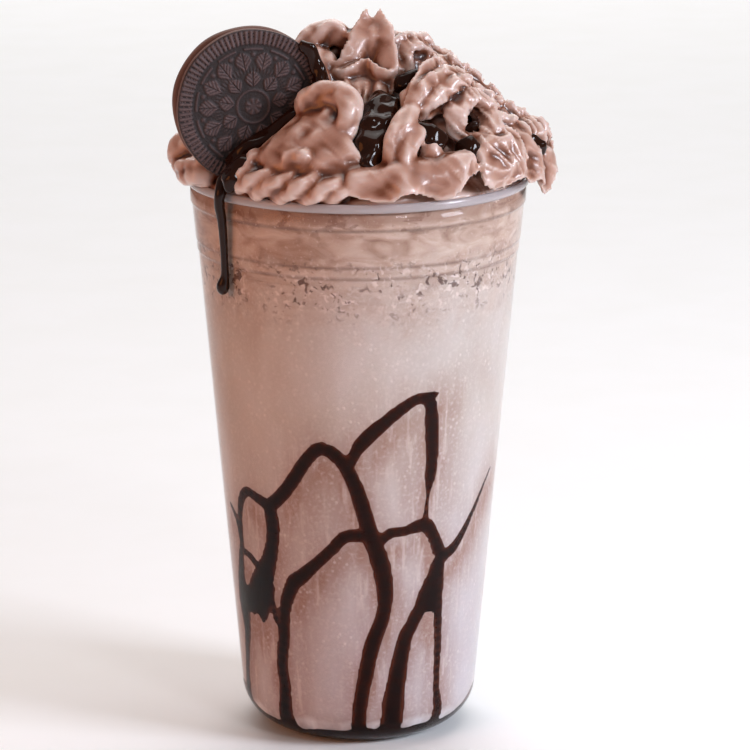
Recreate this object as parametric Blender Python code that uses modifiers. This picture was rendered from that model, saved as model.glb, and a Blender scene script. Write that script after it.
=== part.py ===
"""A chocolate cookie milkshake in a clear plastic cup, at its real size.

The cup stands on its foot ring with the origin at the centre of its resting plane and +Z up.
The front, with the cookie to the left, faces -Y. Lengths below are in millimetres and angles
in degrees. An azimuth turns about the cup's axis, from the front (-Y) towards +X.
"""

import math

import bmesh
import bpy
import numpy as np
from mathutils import Vector

MM = 0.001
# Ropes and strands cross each other and themselves, which leaves open edges under the EXACT solver
SOLVER = "MANIFOLD"

# Cup
CUP_HEIGHT = 163.2
RIM_RADIUS = 49.0
WALL = 0.8
LIP_WIDTH = 1.7
LIP_DEPTH = 2.6
COLLAR_RADIUS = 48.0
COLLAR_FOOT = 155.8
COLLAR_STEP = 0.5
RIB_TOP = 144.8
RIB_BOTTOM = 142.0
RIB_RADIUS = 46.3
RIB_STEP = 0.3
HEEL_RADIUS = 12.8
HEEL_TOP_RADIUS = 34.3
FOOT_WIDTH = 4.5
FOOT_RECESS = 1.2
TURN_STEPS = 32

# Contents
GAP = 0.3
SHAKE_TOP = 139.0
FOAM_TOP = 160.0
POOL_TOP = 5.8
STRAND_INSET = 0.4

# Cookie: a sandwich of two wafers, standing on edge in the cream
COOKIE_RADIUS = 21.5
WAFER_THICKNESS = 3.0
FILLING_THICKNESS = 2.0
FILLING_RADIUS = 20.2
COOKIE_CENTRE = (-29.8, -22.0, 186.5)
COOKIE_FACES = (0.265, -0.964, -0.03)
FLUTES = 28
FLUTE_RELIEF = 0.25
FLUTE_WIDTH = 2.9
EDGE_BEVEL = 0.6

# Cream
CREAM_RADIUS = 47.0
CREAM_TOP = 196.0
MOUND_STEPS = 16
ROPE_SPACING = 10.5
STAR_GROOVE = 0.3


def clear_scene():
    for old in list(bpy.data.objects):
        bpy.data.objects.remove(old)


def new_collection(name):
    made = bpy.data.collections.new(name)
    bpy.context.scene.collection.children.link(made)
    return made


def material(name, colour, roughness, alpha=1.0):
    """A Principled material with the part's colour, in linear light."""
    made = bpy.data.materials.new(name)
    made.use_nodes = True
    shader = made.node_tree.nodes["Principled BSDF"]
    shader.inputs["Base Color"].default_value = (*colour, 1.0)
    shader.inputs["Roughness"].default_value = roughness
    shader.inputs["Metallic"].default_value = 0.0
    shader.inputs["Alpha"].default_value = alpha
    made.diffuse_color = (*colour, alpha)
    return made


def place(obj, collection, finish=None):
    collection.objects.link(obj)
    if finish is not None:
        obj.data.materials.append(finish)
    return obj


def turned(name, profile, steps=TURN_STEPS):
    """A solid of revolution about Z. Its profile starts on the axis and runs down the outer side."""
    points = [(radius * MM, 0.0, height * MM) for radius, height in profile]
    edges = [(i, i + 1) for i in range(len(points) - 1)]
    mesh = bpy.data.meshes.new(name)
    mesh.from_pydata(points, edges, [])
    obj = bpy.data.objects.new(name, mesh)
    screw = obj.modifiers.new("Turn", "SCREW")
    screw.axis = "Z"
    screw.angle = 2 * math.pi
    screw.steps = steps
    screw.render_steps = steps
    screw.use_merge_vertices = True
    screw.merge_threshold = 0.00001
    screw.use_smooth_shade = True
    return obj


def weld_caps(mesh):
    """Closes a curve's mesh, whose caps are loose, where they meet its sides."""
    shape = bmesh.new()
    shape.from_mesh(mesh)
    bmesh.ops.remove_doubles(shape, verts=shape.verts, dist=0.00001)
    bmesh.ops.recalc_face_normals(shape, faces=shape.faces)
    shape.to_mesh(mesh)
    shape.free()


def as_mesh(obj, collection):
    """A new mesh object in place of a curve or of an object with modifiers."""
    name = obj.name
    bpy.context.view_layer.update()
    graph = bpy.context.evaluated_depsgraph_get()
    mesh = bpy.data.meshes.new_from_object(obj.evaluated_get(graph))
    if obj.type == "CURVE":
        weld_caps(mesh)
    matrix = obj.matrix_world.copy()
    bpy.data.objects.remove(obj)
    made = bpy.data.objects.new(name, mesh)
    made.matrix_world = matrix
    collection.objects.link(made)
    return made


def keep_largest_shell(mesh):
    """Fills what the joining sealed inside, and drops loose scraps: only the outer shell stays."""
    shape = bmesh.new()
    shape.from_mesh(mesh)
    left = set(shape.verts)
    shells = []
    while left:
        reached = {left.pop()}
        edge_of_reach = list(reached)
        while edge_of_reach:
            vert = edge_of_reach.pop()
            near = {edge.other_vert(vert) for edge in vert.link_edges} & left
            left -= near
            reached |= near
            edge_of_reach += near
        shells.append(reached)
    shells.sort(key=len)
    for shell in shells[:-1]:
        bmesh.ops.delete(shape, geom=list(shell), context="VERTS")
    shape.to_mesh(mesh)
    shape.free()


def joined(name, pieces, collection):
    """One solid from many that overlap: a Boolean union on a collection, applied."""
    base, *others = pieces
    group = new_collection(name + "_pieces")
    for piece in others:
        collection.objects.unlink(piece)
        group.objects.link(piece)
    union = base.modifiers.new("Join", "BOOLEAN")
    union.operation = "UNION"
    union.operand_type = "COLLECTION"
    union.collection = group
    union.solver = SOLVER
    made = as_mesh(base, collection)
    made.name = name
    for piece in others:
        bpy.data.objects.remove(piece)
    bpy.data.collections.remove(group)
    return made


def boolean(obj, operation, cutter):
    """Cuts one solid from another, or keeps what they share."""
    change = obj.modifiers.new(operation.title(), "BOOLEAN")
    change.operation = operation
    change.object = cutter
    change.solver = SOLVER
    cutter.hide_render = True
    cutter.display_type = "WIRE"


def arc(centre, radii, start, end, count):
    """Points of an elliptic arc in the profile's plane, both ends included."""
    found = []
    for i in range(count):
        angle = math.radians(start + (end - start) * i / (count - 1))
        found.append((centre[0] + radii[0] * math.cos(angle), centre[1] + radii[1] * math.sin(angle)))
    return found


def inner_profile(gap):
    """The inside of the cup's wall less a gap, from the foot ring up to the lip."""
    inset = WALL + gap
    heel_centre = (HEEL_TOP_RADIUS - HEEL_RADIUS, HEEL_RADIUS)
    heel_inside = HEEL_RADIUS - inset
    points = arc(heel_centre, (heel_inside, heel_inside), -90, 0, 5)
    points.append((RIB_RADIUS - RIB_STEP - 0.15 - inset, RIB_BOTTOM - 0.4))
    points.append((RIB_RADIUS - 0.1 - inset, RIB_BOTTOM))
    points.append((RIB_RADIUS - inset, RIB_TOP - 0.2))
    points.append((RIB_RADIUS + 0.25 - inset, RIB_TOP + 0.2))
    points.append((COLLAR_RADIUS - COLLAR_STEP - inset, COLLAR_FOOT - 0.6))
    points.append((COLLAR_RADIUS - inset, COLLAR_FOOT))
    points.append((COLLAR_RADIUS + 0.1 - inset, CUP_HEIGHT - LIP_DEPTH / 2))
    return points


def inside_radius(height, gap=0.0):
    """How far the inside of the wall is from the axis at a height."""
    radii, heights = zip(*inner_profile(gap))
    return float(np.interp(height, heights, radii))


def contents_profile(low, high, gap=GAP):
    """A filling that reaches the wall, less a gap, between two heights."""
    between = [point for point in inner_profile(gap) if low + 0.05 < point[1] < high - 0.05]
    wall = [(inside_radius(low, gap), low), *between, (inside_radius(high, gap), high)]
    return [(0, high), *reversed(wall), (0, low)]


def cup():
    """The clear cup: rolled lip, stepped collar, stacking rib, cone, round heel and foot ring."""
    lip_centre = (RIM_RADIUS - LIP_WIDTH / 2, CUP_HEIGHT - LIP_DEPTH / 2)
    heel_centre = (HEEL_TOP_RADIUS - HEEL_RADIUS, HEEL_RADIUS)
    foot_inside = heel_centre[0] - FOOT_WIDTH
    floor_inside = FOOT_RECESS + WALL
    profile = [(0, floor_inside), (foot_inside - 0.4, floor_inside), (foot_inside + 0.8, WALL + 0.15)]
    profile += inner_profile(0.0)
    profile += arc(lip_centre, (LIP_WIDTH / 2, LIP_DEPTH / 2), 135, -90, 5)
    profile += [(COLLAR_RADIUS, COLLAR_FOOT), (COLLAR_RADIUS - COLLAR_STEP, COLLAR_FOOT - 0.6)]
    profile += [(RIB_RADIUS + 0.25, RIB_TOP + 0.2), (RIB_RADIUS, RIB_TOP - 0.2)]
    profile += [(RIB_RADIUS - 0.1, RIB_BOTTOM), (RIB_RADIUS - RIB_STEP - 0.15, RIB_BOTTOM - 0.4)]
    profile += arc(heel_centre, (HEEL_RADIUS, HEEL_RADIUS), 0, -90, 5)
    profile += [(foot_inside, 0), (foot_inside - 0.8, FOOT_RECESS), (0, FOOT_RECESS)]
    return turned("cup", profile)


def smooth_route(points, spacing):
    """A smooth curve through the points, with steps of about the spacing. Every column is carried along."""
    points = np.array(points, float)
    before = 2 * points[0] - points[1]
    after = 2 * points[-1] - points[-2]
    padded = np.vstack([before, points, after])
    found = [points[0]]
    for a, b, c, d in zip(padded, padded[1:], padded[2:], padded[3:]):
        steps = max(1, round(float(np.linalg.norm(c[:3] - b[:3])) / spacing))
        for i in range(1, steps + 1):
            t = i / steps
            bend = 2 * a - 5 * b + 4 * c - d
            turn = 3 * (b - c) + d - a
            found.append(b + 0.5 * t * ((c - a) + t * (bend + t * turn)))
    return np.array(found)


def even_route(points, spacing):
    """The smooth curve read at even steps of about the spacing, with both its ends."""
    line = smooth_route(points, 1.5)
    length = float(np.linalg.norm(np.diff(line[:, :3], axis=0), axis=1).sum())
    places = np.linspace(0, len(line) - 1, max(2, round(length / spacing)) + 1)
    return np.column_stack([np.interp(places, range(len(line)), column) for column in line.T])


def tube(name, points, collection, outline=None, twist=0.0, sides=8):
    """A curve with a bevel along (x, y, z, radius) points, made a mesh. An outline gives it lobes."""
    data = bpy.data.curves.new(name, "CURVE")
    data.dimensions = "3D"
    data.twist_mode = "MINIMUM"
    data.use_fill_caps = True
    if outline is None:
        data.bevel_depth = MM
        data.bevel_resolution = (sides - 4) // 2
    else:
        data.bevel_mode = "OBJECT"
        data.bevel_object = outline
    spline = data.splines.new("POLY")
    spline.points.add(len(points) - 1)
    travelled = 0.0
    for i, (x, y, z, radius) in enumerate(points):
        if i:
            travelled += float(np.linalg.norm(points[i, :3] - points[i - 1, :3]))
        spline.points[i].co = (x * MM, y * MM, z * MM, 1.0)
        spline.points[i].radius = radius
        spline.points[i].tilt = math.radians(twist * travelled)
    return as_mesh(place(bpy.data.objects.new(name, data), collection), collection)


def star_outline(name, lobes, collection):
    """A star-shaped section one millimetre in radius, as a star nozzle pipes it."""
    data = bpy.data.curves.new(name, "CURVE")
    data.dimensions = "2D"
    data.fill_mode = "NONE"
    spline = data.splines.new("POLY")
    spline.points.add(2 * lobes - 1)
    for i in range(2 * lobes):
        reach = MM * (1.0 if i % 2 == 0 else 1.0 - STAR_GROOVE)
        angle = math.pi * i / lobes
        spline.points[i].co = (reach * math.cos(angle), reach * math.sin(angle), 0.0, 1.0)
    spline.use_cyclic_u = True
    outline = place(bpy.data.objects.new(name, data), collection)
    outline.hide_render = True
    return outline


# Syrup drizzled on the inside of the wall before filling, as (azimuth, height, radius) points
FRONT_STRANDS = {
    "tall_arch": [(-41, 72, 1.8), (-34, 76, 1.6), (-28, 81, 1.6), (-20, 89, 1.5), (-14, 92, 1.5),
                  (-6, 88, 1.5), (0, 79, 1.7), (5, 67, 1.9), (10, 57, 2.1), (12, 48, 1.8), (11, 41, 1.6),
                  (7, 34, 1.8), (4, 25, 1.7), (1, 14, 1.6), (0, 5, 1.8)],
    "low_arch": [(-39, 4, 3.0), (-39, 9, 2.2), (-38, 17, 1.6), (-39, 24, 1.6), (-37, 32, 1.6),
                 (-35, 42, 1.6), (-30, 50, 1.8), (-25, 53, 1.7), (-17, 58, 1.3), (-11, 62, 1.3),
                 (-5, 66, 1.4), (4, 66, 1.4)],
    "right_peak": [(-4, 86, 1.0), (-1, 91, 1.3), (3, 95, 1.7), (9, 99, 1.6), (16, 103, 1.4), (23, 106, 1.2),
                   (28, 106, 1.2), (33, 107.5, 0.5)],
    "right_fall": [(29, 106.5, 1.5), (30, 98, 1.7), (31, 88, 1.5), (30.5, 82, 1.3), (30, 78, 0.6),
                   (29.5, 73, 0.5), (29, 67, 1.0)],
    "middle_bridge": [(9, 63, 1.0), (13, 66.5, 1.2), (20, 67, 1.1), (26, 68, 1.5), (30, 68, 1.7),
                      (34, 64, 1.5), (38, 58, 1.8)],
    "right_rise": [(38, 57, 1.5), (45, 59, 1.3), (51, 63, 1.0), (58, 69, 0.7), (65, 75, 0.5),
                   (73, 80, 0.4)],
    "right_leg": [(38, 58, 1.8), (36, 53, 1.9), (32, 48, 1.8), (29, 43, 1.7), (25, 38, 1.7), (22, 34, 1.8),
                  (20, 27, 2.0), (18, 19, 2.4), (17, 11, 2.7), (17, 5, 2.8)],
    "right_web": [(37, 54, 1.6), (35.5, 49, 2.2), (34.5, 44.5, 2.9), (34, 41, 3.2)],
    "thin_leg": [(38, 57, 1.6), (38.5, 47, 1.2), (39, 40, 1.2), (40, 32, 1.0), (40.5, 25, 0.9),
                 (41, 17, 0.9), (43, 10, 1.4), (43, 5, 1.6)],
    "left_edge": [(-72, 69, 0.6), (-65, 65, 0.8), (-62, 59, 1.0), (-64, 53, 1.2), (-66, 46, 2.2),
                  (-66, 39, 2.8), (-65, 32, 1.9), (-67, 25, 1.3), (-70, 17, 1.2), (-72, 8, 2.2)],
    "left_peak": [(-62, 59, 1.0), (-61, 67, 1.0), (-58, 72.5, 1.2), (-53, 75, 1.1), (-47, 74, 1.2),
                  (-40, 72.5, 1.7)],
    "left_mass": [(-40, 73, 1.8), (-39, 67, 2.0), (-40, 61, 1.9), (-43, 55, 2.4), (-48, 49, 3.4),
                  (-54, 43, 3.6), (-61, 40, 3.0)],
    "left_pool": [(-61, 44, 2.4), (-58, 41, 2.9), (-52, 40, 2.8)],
    "left_drop": [(-44, 50, 2.4), (-46, 44, 2.4), (-49, 39, 1.8), (-49.5, 35.5, 1.0)],
    "left_link": [(-43, 45, 1.0), (-41.5, 40, 0.8), (-39, 36, 0.9)],
    "left_window": [(-63, 55.5, 0.9), (-57, 55.5, 0.8), (-50, 53, 1.2)],
}
BACK_STRANDS = ("tall_arch", "low_arch", "right_peak", "right_leg")
BACK_TURN = 178
STRAND_SPACING = 9.5
STRAND_EXTRA = 0.3
UNROLLED_DEGREE = 0.7


def strands(grow, collection):
    """Every strand as a tube whose middle lies just inside the wall, and the pool at the bottom."""
    made = []
    for turn, names in ((0, tuple(FRONT_STRANDS)), (BACK_TURN, BACK_STRANDS)):
        for name in names:
            unrolled = [(UNROLLED_DEGREE * a, height, 0, radius) for a, height, radius in FRONT_STRANDS[name]]
            points = []
            for along, height, _, radius in even_route(unrolled, STRAND_SPACING):
                angle = math.radians(along / UNROLLED_DEGREE + turn)
                out = inside_radius(height, GAP) - STRAND_INSET
                thick = radius + STRAND_EXTRA + grow
                points.append((out * math.sin(angle), -out * math.cos(angle), height, thick))
            made.append(tube(f"{name}_{turn}", np.array(points), collection, sides=6))
    pool = contents_profile(WALL + 0.2, POOL_TOP + grow, gap=GAP - 0.6)
    made.append(as_mesh(place(turned("pool", pool), collection), collection))
    return made


def syrup_inside(collection, cutters):
    """The drizzle and the pool as one solid, kept inside the cup's wall."""
    body = joined("syrup_inside", strands(0.0, collection), collection)
    room = place(turned("room_for_syrup", contents_profile(WALL + FOOT_RECESS + GAP, SHAKE_TOP)), cutters)
    boolean(body, "INTERSECT", room)
    return body


def shake(collection, cutters):
    """The shake fills the cup round the drizzle, from the pool up to the foam."""
    body = place(turned("shake", contents_profile(POOL_TOP - 1.0, SHAKE_TOP)), collection)
    grooves = joined("drizzle_grooves", strands(GAP, cutters), cutters)
    boolean(body, "DIFFERENCE", grooves)
    body = as_mesh(body, collection)
    keep_largest_shell(body.data)
    return body


def foam_layer():
    """The airy layer of cream and shake against the collar."""
    return turned("foam_layer", contents_profile(SHAKE_TOP + GAP, FOAM_TOP))


# Piped cream: ropes of star section through (x, y, z, radius) points, as (lobes, twist, route)
ROPES = {
    "peak": (3, 1, [(1, -8, 184, 8.5), (1, -8, 193, 8.5), (2, -7, 200, 7), (3.8, -5.5, 207.6, 3.6)]),
    "peak_side": (4, 3, [(11, -9, 188, 6), (12, -6, 196, 5), (10, -3, 202, 3.4)]),
    "swirl_body": (3, 3, [(-10, -17, 187, 6.5), (-11, -12, 195, 6.5), (-9, -9, 200, 5)]),
    "swirl": (3, 3, [(-15, -13, 192, 4), (-16, -10, 198, 4.2), (-12, -8, 202.5, 4.2), (-7, -7, 204.5, 4)]),
    "pleats": (4, 3, [(7, -7, 196, 5.5), (13, -3, 199.5, 5), (19, 0, 197, 5)]),
    "hook": (3, 1, [(-16, -25, 184.5, 4), (-5.6, -29.5, 190.2, 4.4), (-2, -33, 187.5, 4.1),
                    (-6, -38.5, 177.5, 3)]),
    "rim_left": (3, 6, [(-35, -35, 168, 4), (-28, -40, 167.6, 4.6), (-20, -43.6, 167.2, 4.8),
                        (-10, -46, 167, 4.7), (-1, -46.8, 167, 4)]),
    "stalk_a": (3, 2, [(15.5, -28, 186, 3.2), (12.5, -35, 183, 3.6), (10, -40, 178, 3.6),
                       (9, -42, 171, 3.2)]),
    "stalk_b": (3, 2, [(18, -32, 182, 2.6), (14.5, -39, 179, 3), (15, -43, 169, 2.6)]),
    "block": (4, 3, [(14, -27, 183, 5), (18, -25, 188.5, 6), (23, -20, 190.5, 6), (31, -11, 187, 4.6)]),
    "ring": (3, 3, [(28, -28, 177, 3.2), (27, -25, 184, 3.2), (31, -18, 187, 3.4), (37, -22, 179.5, 3.0),
                    (34, -27, 176, 2.6)]),
    "ridge": (4, 4, [(8, 3, 197, 7), (19, 3, 194, 7), (29, 3, 186, 6.5), (39, 2, 177, 6), (49, 1, 172, 5)]),
    "ridge_front": (4, 4, [(22, -6, 192, 5), (32, -6, 187, 5.4), (42, -5, 179, 5), (51, -4, 173, 4)]),
    "left_edge": (4, 3, [(-38, -6, 172, 6), (-46, -7, 171.5, 6), (-53.6, -7, 168, 4.4)]),
    "left_low": (3, 4, [(-50, -8, 166.5, 3.4), (-46, -18, 166.5, 4.6), (-41, -25, 167.5, 4.6)]),
}
# Thin sheets of cream, as (thickness, waves, depth, bow, root line, free edge)
PETALS = {
    "left_sheet": (6.5, 0, 0, 2.5, [(-30, -31, 171), (-23, -29, 178), (-17, -26, 183), (-10, -24, 188)],
                   [(-19, -44.5, 168), (-10, -46.5, 171), (-3, -46, 172), (2.5, -43.5, 174)]),
    "wavy_sheet": (4.5, 2.4, 1.8, 2.0, [(-4, -42, 171), (5, -41, 172.5), (13, -39, 173.5), (21, -36, 174.5),
                   (30, -31, 175)], [(-3, -49.5, 165.5), (5, -50.5, 165.2), (13, -49.8, 164.6),
                   (19, -47.2, 166), (25, -45, 163.8), (30, -41, 167), (33.5, -37, 171.5)]),
    "fold_edge": (3.6, 1, 0.8, 1.5, [(22, -6, 192), (21, -11, 190), (18, -18, 187), (16, -25, 183)],
                  [(21, -12, 199.5), (17.5, -20, 197), (14, -26, 193), (12, -31, 188)]),
    "peak_left": (3.6, 1, 0.5, 1.2, [(2, -10, 187), (2, -9, 195), (3, -6, 203)], [(-8, -19, 187.5),
                  (-6.5, -16.5, 196), (-3.2, -11, 204.5), (2.6, -6, 212)]),
    "peak_right": (3.8, 1, 0.5, 1.2, [(3, -10, 187), (4, -9, 195), (4.5, -6, 203)], [(10.5, -18.5, 188.5),
                   (11.8, -15, 197), (10.6, -9, 205), (6, -4.5, 211.8)]),
    "peak_shelf": (2.4, 0.5, 0.6, 0.2, [(-5, -13, 190), (1, -11, 191), (8, -13, 190)], [(-6, -16, 197),
                   (1, -12.8, 200.5), (9, -15, 198.5)]),
    "fan": (6.0, 4, 1.5, 4.5, [(28, -25, 177), (34, -16, 178), (37, -6, 179), (37, 5, 177)],
                               [(34, -38, 165.8), (42, -32, 165.2), (48, -24, 165), (52.5, -15, 161.5),
                               (54, -8, 158.8), (56.2, -1, 164), (55.5, 7, 170)]),
    "fan_upper": (4.0, 2, 1.4, 3.0, [(36, -14, 178), (41, -7, 178), (44, 1, 176)], [(44, -20, 170),
                  (52, -10, 171.5), (56, -1, 173)]),
    "back_ruffle": (3.6, 3, 1.0, 1.0, [(10, -8, 190), (22, -8, 187), (34, -8, 180), (46, -6, 172)],
                    [(13, 0, 202.5), (22, 0, 198), (31, 0, 190.5), (40, 0, 182), (49, 0, 177.5)]),
}
RIM_ROPES = ((66, 178, 44.6, 169.0, 5.8), (182, 298, 44.6, 168.6, 5.4))
RIM_TWIST = 5
BACK_FOLDS = 7
BACK_TWIST = 3
BACK_REACH = 43
BACK_STEPS = ((3, 200, 4.5), (13, 195, 5.6), (25, 187, 6.2), (36, 178, 6.2), (42, 172, 5.2))
CURL_CENTRE = (-16.8, -43.5, 173.2)
CURL_RADIUS = 3.2
CURL_ROPE = 2.2
CURL_SPACING = 3.5


def read_at(route, places):
    """Points of a smooth route at shares of its length from 0 to 1."""
    line = smooth_route(route, 2.0)
    steps = np.linspace(0, 1, len(line))
    return np.column_stack([np.interp(places, steps, column) for column in line.T])


def petal(name, form, collection):
    """A closed sheet between a root line and a free edge. It bows out, and waves grow towards its edge."""
    thickness, waves, depth, bow, root, edge = form
    along = np.linspace(0, 1, max(5, int(2 * waves) + 2))
    first, last = read_at(root, along), read_at(edge, along)
    out = last - first
    facing = np.cross(np.gradient(0.5 * (first + last), axis=0), out)
    facing /= np.linalg.norm(facing, axis=1, keepdims=True)
    facing *= np.sign(facing[:, 2].sum() - facing[:, 1].sum())
    turn = np.linspace(0, 2 * np.pi, 6, endpoint=False)
    reach = 0.5 - 0.5 * np.cos(turn)
    ends = np.clip(np.minimum(along, 1 - along) * 6, 0.3, 1)[:, None]
    half = 0.5 * thickness * (1.25 - 0.75 * reach) * np.sin(turn) * ends
    wave = depth * reach * np.sin(2 * np.pi * waves * along)[:, None]
    lift = bow * np.sin(np.pi * reach) + wave + half
    grid = first[:, None] + reach[:, None] * out[:, None] + lift[..., None] * facing[:, None]
    rows, columns = grid.shape[:2]
    faces = []
    for row in range(rows - 1):
        for column in range(columns):
            beside = (column + 1) % columns
            here, above = row * columns, (row + 1) * columns
            faces.append((here + column, here + beside, above + beside, above + column))
    faces += [tuple(range(columns))[::-1], tuple(range((rows - 1) * columns, rows * columns))]
    mesh = bpy.data.meshes.new(name)
    mesh.from_pydata((grid.reshape(-1, 3) * MM).tolist(), [], faces)
    shape = bmesh.new()
    shape.from_mesh(mesh)
    bmesh.ops.triangulate(shape, faces=shape.faces)
    bmesh.ops.recalc_face_normals(shape, faces=shape.faces)
    shape.to_mesh(mesh)
    shape.free()
    return place(bpy.data.objects.new(name, mesh), collection)


def rim_routes():
    """Ropes that lie round the rim, thinner and thicker by turns."""
    for start, end, out, height, radius in RIM_ROPES:
        route = []
        for azimuth in np.linspace(start, end, max(4, abs(end - start) // 16)):
            angle = math.radians(azimuth)
            swell = radius * (1 + 0.09 * math.sin(3.1 * angle + start))
            lift = 0.8 * math.sin(5 * angle)
            route.append((out * math.sin(angle), -out * math.cos(angle), height + lift, swell))
        yield route


def back_routes():
    """Folds that run down the hidden side from the top to the rim, uneven in place and size."""
    for i in range(BACK_FOLDS):
        angle = math.radians(84 + i * 196 / (BACK_FOLDS - 1) + 6 * math.sin(2.3 * i))
        lean = math.radians(14 + 8 * math.sin(1.7 * i))
        route = []
        for out, height, radius in BACK_STEPS:
            turn = angle + lean * out / BACK_REACH
            lift = math.sin(4.1 * i)
            route.append((out * math.sin(turn), -out * math.cos(turn), height + lift, radius))
        yield route


def curl_route():
    """A small curl at the front left, coiling towards its middle."""
    x, y, z = CURL_CENTRE
    route = []
    for i in range(10):
        angle = math.radians(-75 + 42 * i)
        reach = CURL_RADIUS * (1 - 0.05 * i)
        route.append((x + reach * math.cos(angle), y + 0.25 * i, z + reach * math.sin(angle), CURL_ROPE))
    return route


# Thick syrup in the hollows of the cream, as tubes through (x, y, z, radius) points
POURED = {
    "valley": [(8, -19, 188, 3.4), (5.5, -28, 182.5, 6.4), (3.5, -37, 176, 5.6), (5, -44, 172, 2.6)],
    "under_block": [(12.5, -31, 181.5, 3), (17, -32.5, 180, 3.8), (24, -33, 180, 2.6)],
    "under_ring": [(27, -30, 177, 3), (31, -31.5, 175, 3.6), (34.5, -32, 173, 2.6)],
}


def keep_clear_of_cup():
    """The space of the cup's lip and of the foam under the cream, as a turned cutter."""
    plug = inside_radius(CUP_HEIGHT, 0) - 1.0
    above = CUP_HEIGHT + GAP
    outside = RIM_RADIUS + GAP + 0.1
    under = FOAM_TOP + GAP
    profile = [(0, under), (plug, under), (plug, above), (outside, above), (outside, 120), (0, 120)]
    return turned("cup_space", profile, 2 * TURN_STEPS)


def cream(collection, cutters):
    """Chocolate cream, piped in ropes and petals over a low mound, with syrup in its hollows."""
    under = FOAM_TOP + 0.1
    mound = [(0, CREAM_TOP), (12, CREAM_TOP - 2), (24, 184), (36, 174.5), (44, 166.5), (CREAM_RADIUS, 164)]
    mound += [(CREAM_RADIUS - 1, under), (0, under)]
    pieces = [as_mesh(place(turned("mound", mound, MOUND_STEPS), collection), collection)]
    outlines = {lobes: star_outline(f"star_{lobes}", lobes, cutters) for lobes in (3, 4)}
    for name, (lobes, twist, route) in ROPES.items():
        pieces.append(tube(name, even_route(route, ROPE_SPACING), collection, outlines[lobes], twist))
    for name, form in PETALS.items():
        pieces.append(petal(name, form, collection))
    for route in rim_routes():
        pieces.append(tube("rim_rope", even_route(route, ROPE_SPACING), collection, outlines[4], RIM_TWIST))
    for route in back_routes():
        pieces.append(tube("back_fold", even_route(route, ROPE_SPACING), collection, outlines[3], BACK_TWIST))
    curl = even_route(curl_route(), CURL_SPACING)
    pieces.append(tube("curl", curl, collection, outlines[3], BACK_TWIST))
    for name, route in POURED.items():
        pieces.append(tube(name, even_route(route, ROPE_SPACING), collection, sides=6))
    body = joined("cream", pieces, collection)
    boolean(body, "DIFFERENCE", place(keep_clear_of_cup(), cutters))
    boolean(body, "DIFFERENCE", cookie_space(cutters))
    boolean(body, "DIFFERENCE", drip_tube("drip_space", GAP, cutters))
    body = as_mesh(body, collection)
    keep_largest_shell(body.data)
    return body


def face_along(obj, offset):
    """Stands a disc made round +Z on the cookie's axis, offset from the cookie's middle."""
    facing = Vector(COOKIE_FACES).normalized()
    obj.location = (Vector(COOKIE_CENTRE) + facing * offset) * MM
    obj.rotation_euler = facing.to_track_quat("Z", "Y").to_euler()
    return obj


def disc(name, radius, thickness, sides):
    mesh = bpy.data.meshes.new(name)
    shape = bmesh.new()
    bmesh.ops.create_cone(
        shape, cap_ends=True, segments=sides, radius1=radius * MM, radius2=radius * MM, depth=thickness * MM
    )
    shape.to_mesh(mesh)
    shape.free()
    return bpy.data.objects.new(name, mesh)


def cookie_space(collection):
    """The cookie's own room in the cream."""
    thickness = 2 * WAFER_THICKNESS + FILLING_THICKNESS + 4 * GAP
    return face_along(place(disc("cookie_space", COOKIE_RADIUS + GAP, thickness, 48), collection), 0)


def wafer(name, side):
    """A round wafer whose outer face has a narrow edge, a ring of flutes and a sunk middle."""
    obj = disc(name, COOKIE_RADIUS, WAFER_THICKNESS, 2 * FLUTES)
    shape = bmesh.new()
    shape.from_mesh(obj.data)
    top = max(shape.faces, key=lambda face: face.calc_center_median().z)
    for inset, depth in ((EDGE_BEVEL, 0.0), (FLUTE_WIDTH, 0.0), (EDGE_BEVEL, -FLUTE_RELIEF)):
        bmesh.ops.inset_region(shape, faces=[top], thickness=inset * MM, depth=depth * MM)
    radii = (COOKIE_RADIUS - EDGE_BEVEL, COOKIE_RADIUS - EDGE_BEVEL - FLUTE_WIDTH)
    for vert in shape.verts:
        reach = math.hypot(vert.co.x, vert.co.y) / MM
        in_ring = min(abs(reach - radius) for radius in radii) < EDGE_BEVEL / 2
        if vert.co.z > 0 and in_ring:
            number = round(math.atan2(vert.co.y, vert.co.x) * FLUTES / math.pi)
            vert.co.z -= (number % 2) * FLUTE_RELIEF * MM
    shape.to_mesh(obj.data)
    shape.free()
    face_along(obj, side * (FILLING_THICKNESS / 2 + GAP + WAFER_THICKNESS / 2))
    if side < 0:
        obj.rotation_euler.rotate_axis("X", math.pi)
    return obj


def filling():
    return face_along(disc("cookie_filling", FILLING_RADIUS, FILLING_THICKNESS, 48), 0)


# Syrup that runs from the cookie's foot over the lip, as (x, y, z, radius) points
DRIP_START = [(-29.0, -32.0, 172.5, 2.4), (-33.0, -33.0, 169.0, 3.2), (-36.3, -32.0, 166.8, 2.6)]
DRIP_AZIMUTH = -47.5
DRIP_TURN = -7
DRIP_FALL = ((51.4, 163.6, 1.6), (51.1, 160.2, 1.5), (49.7, 155.5, 1.3), (48.6, 149.5, 1.15),
             (47.8, 143.5, 1.05), (47.2, 138.5, 1.2), (47.4, 135.0, 1.85), (46.9, 132.6, 1.0))
DRIP_SPACING = 3.5


def drip_tube(name, grow, collection):
    route = [(x, y, z, radius + grow) for x, y, z, radius in DRIP_START]
    for i, (out, height, radius) in enumerate(DRIP_FALL):
        angle = math.radians(DRIP_AZIMUTH + DRIP_TURN * i / len(DRIP_FALL))
        route.append((out * math.sin(angle), -out * math.cos(angle), height, radius + grow))
    return tube(name, even_route(route, DRIP_SPACING), collection)


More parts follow.
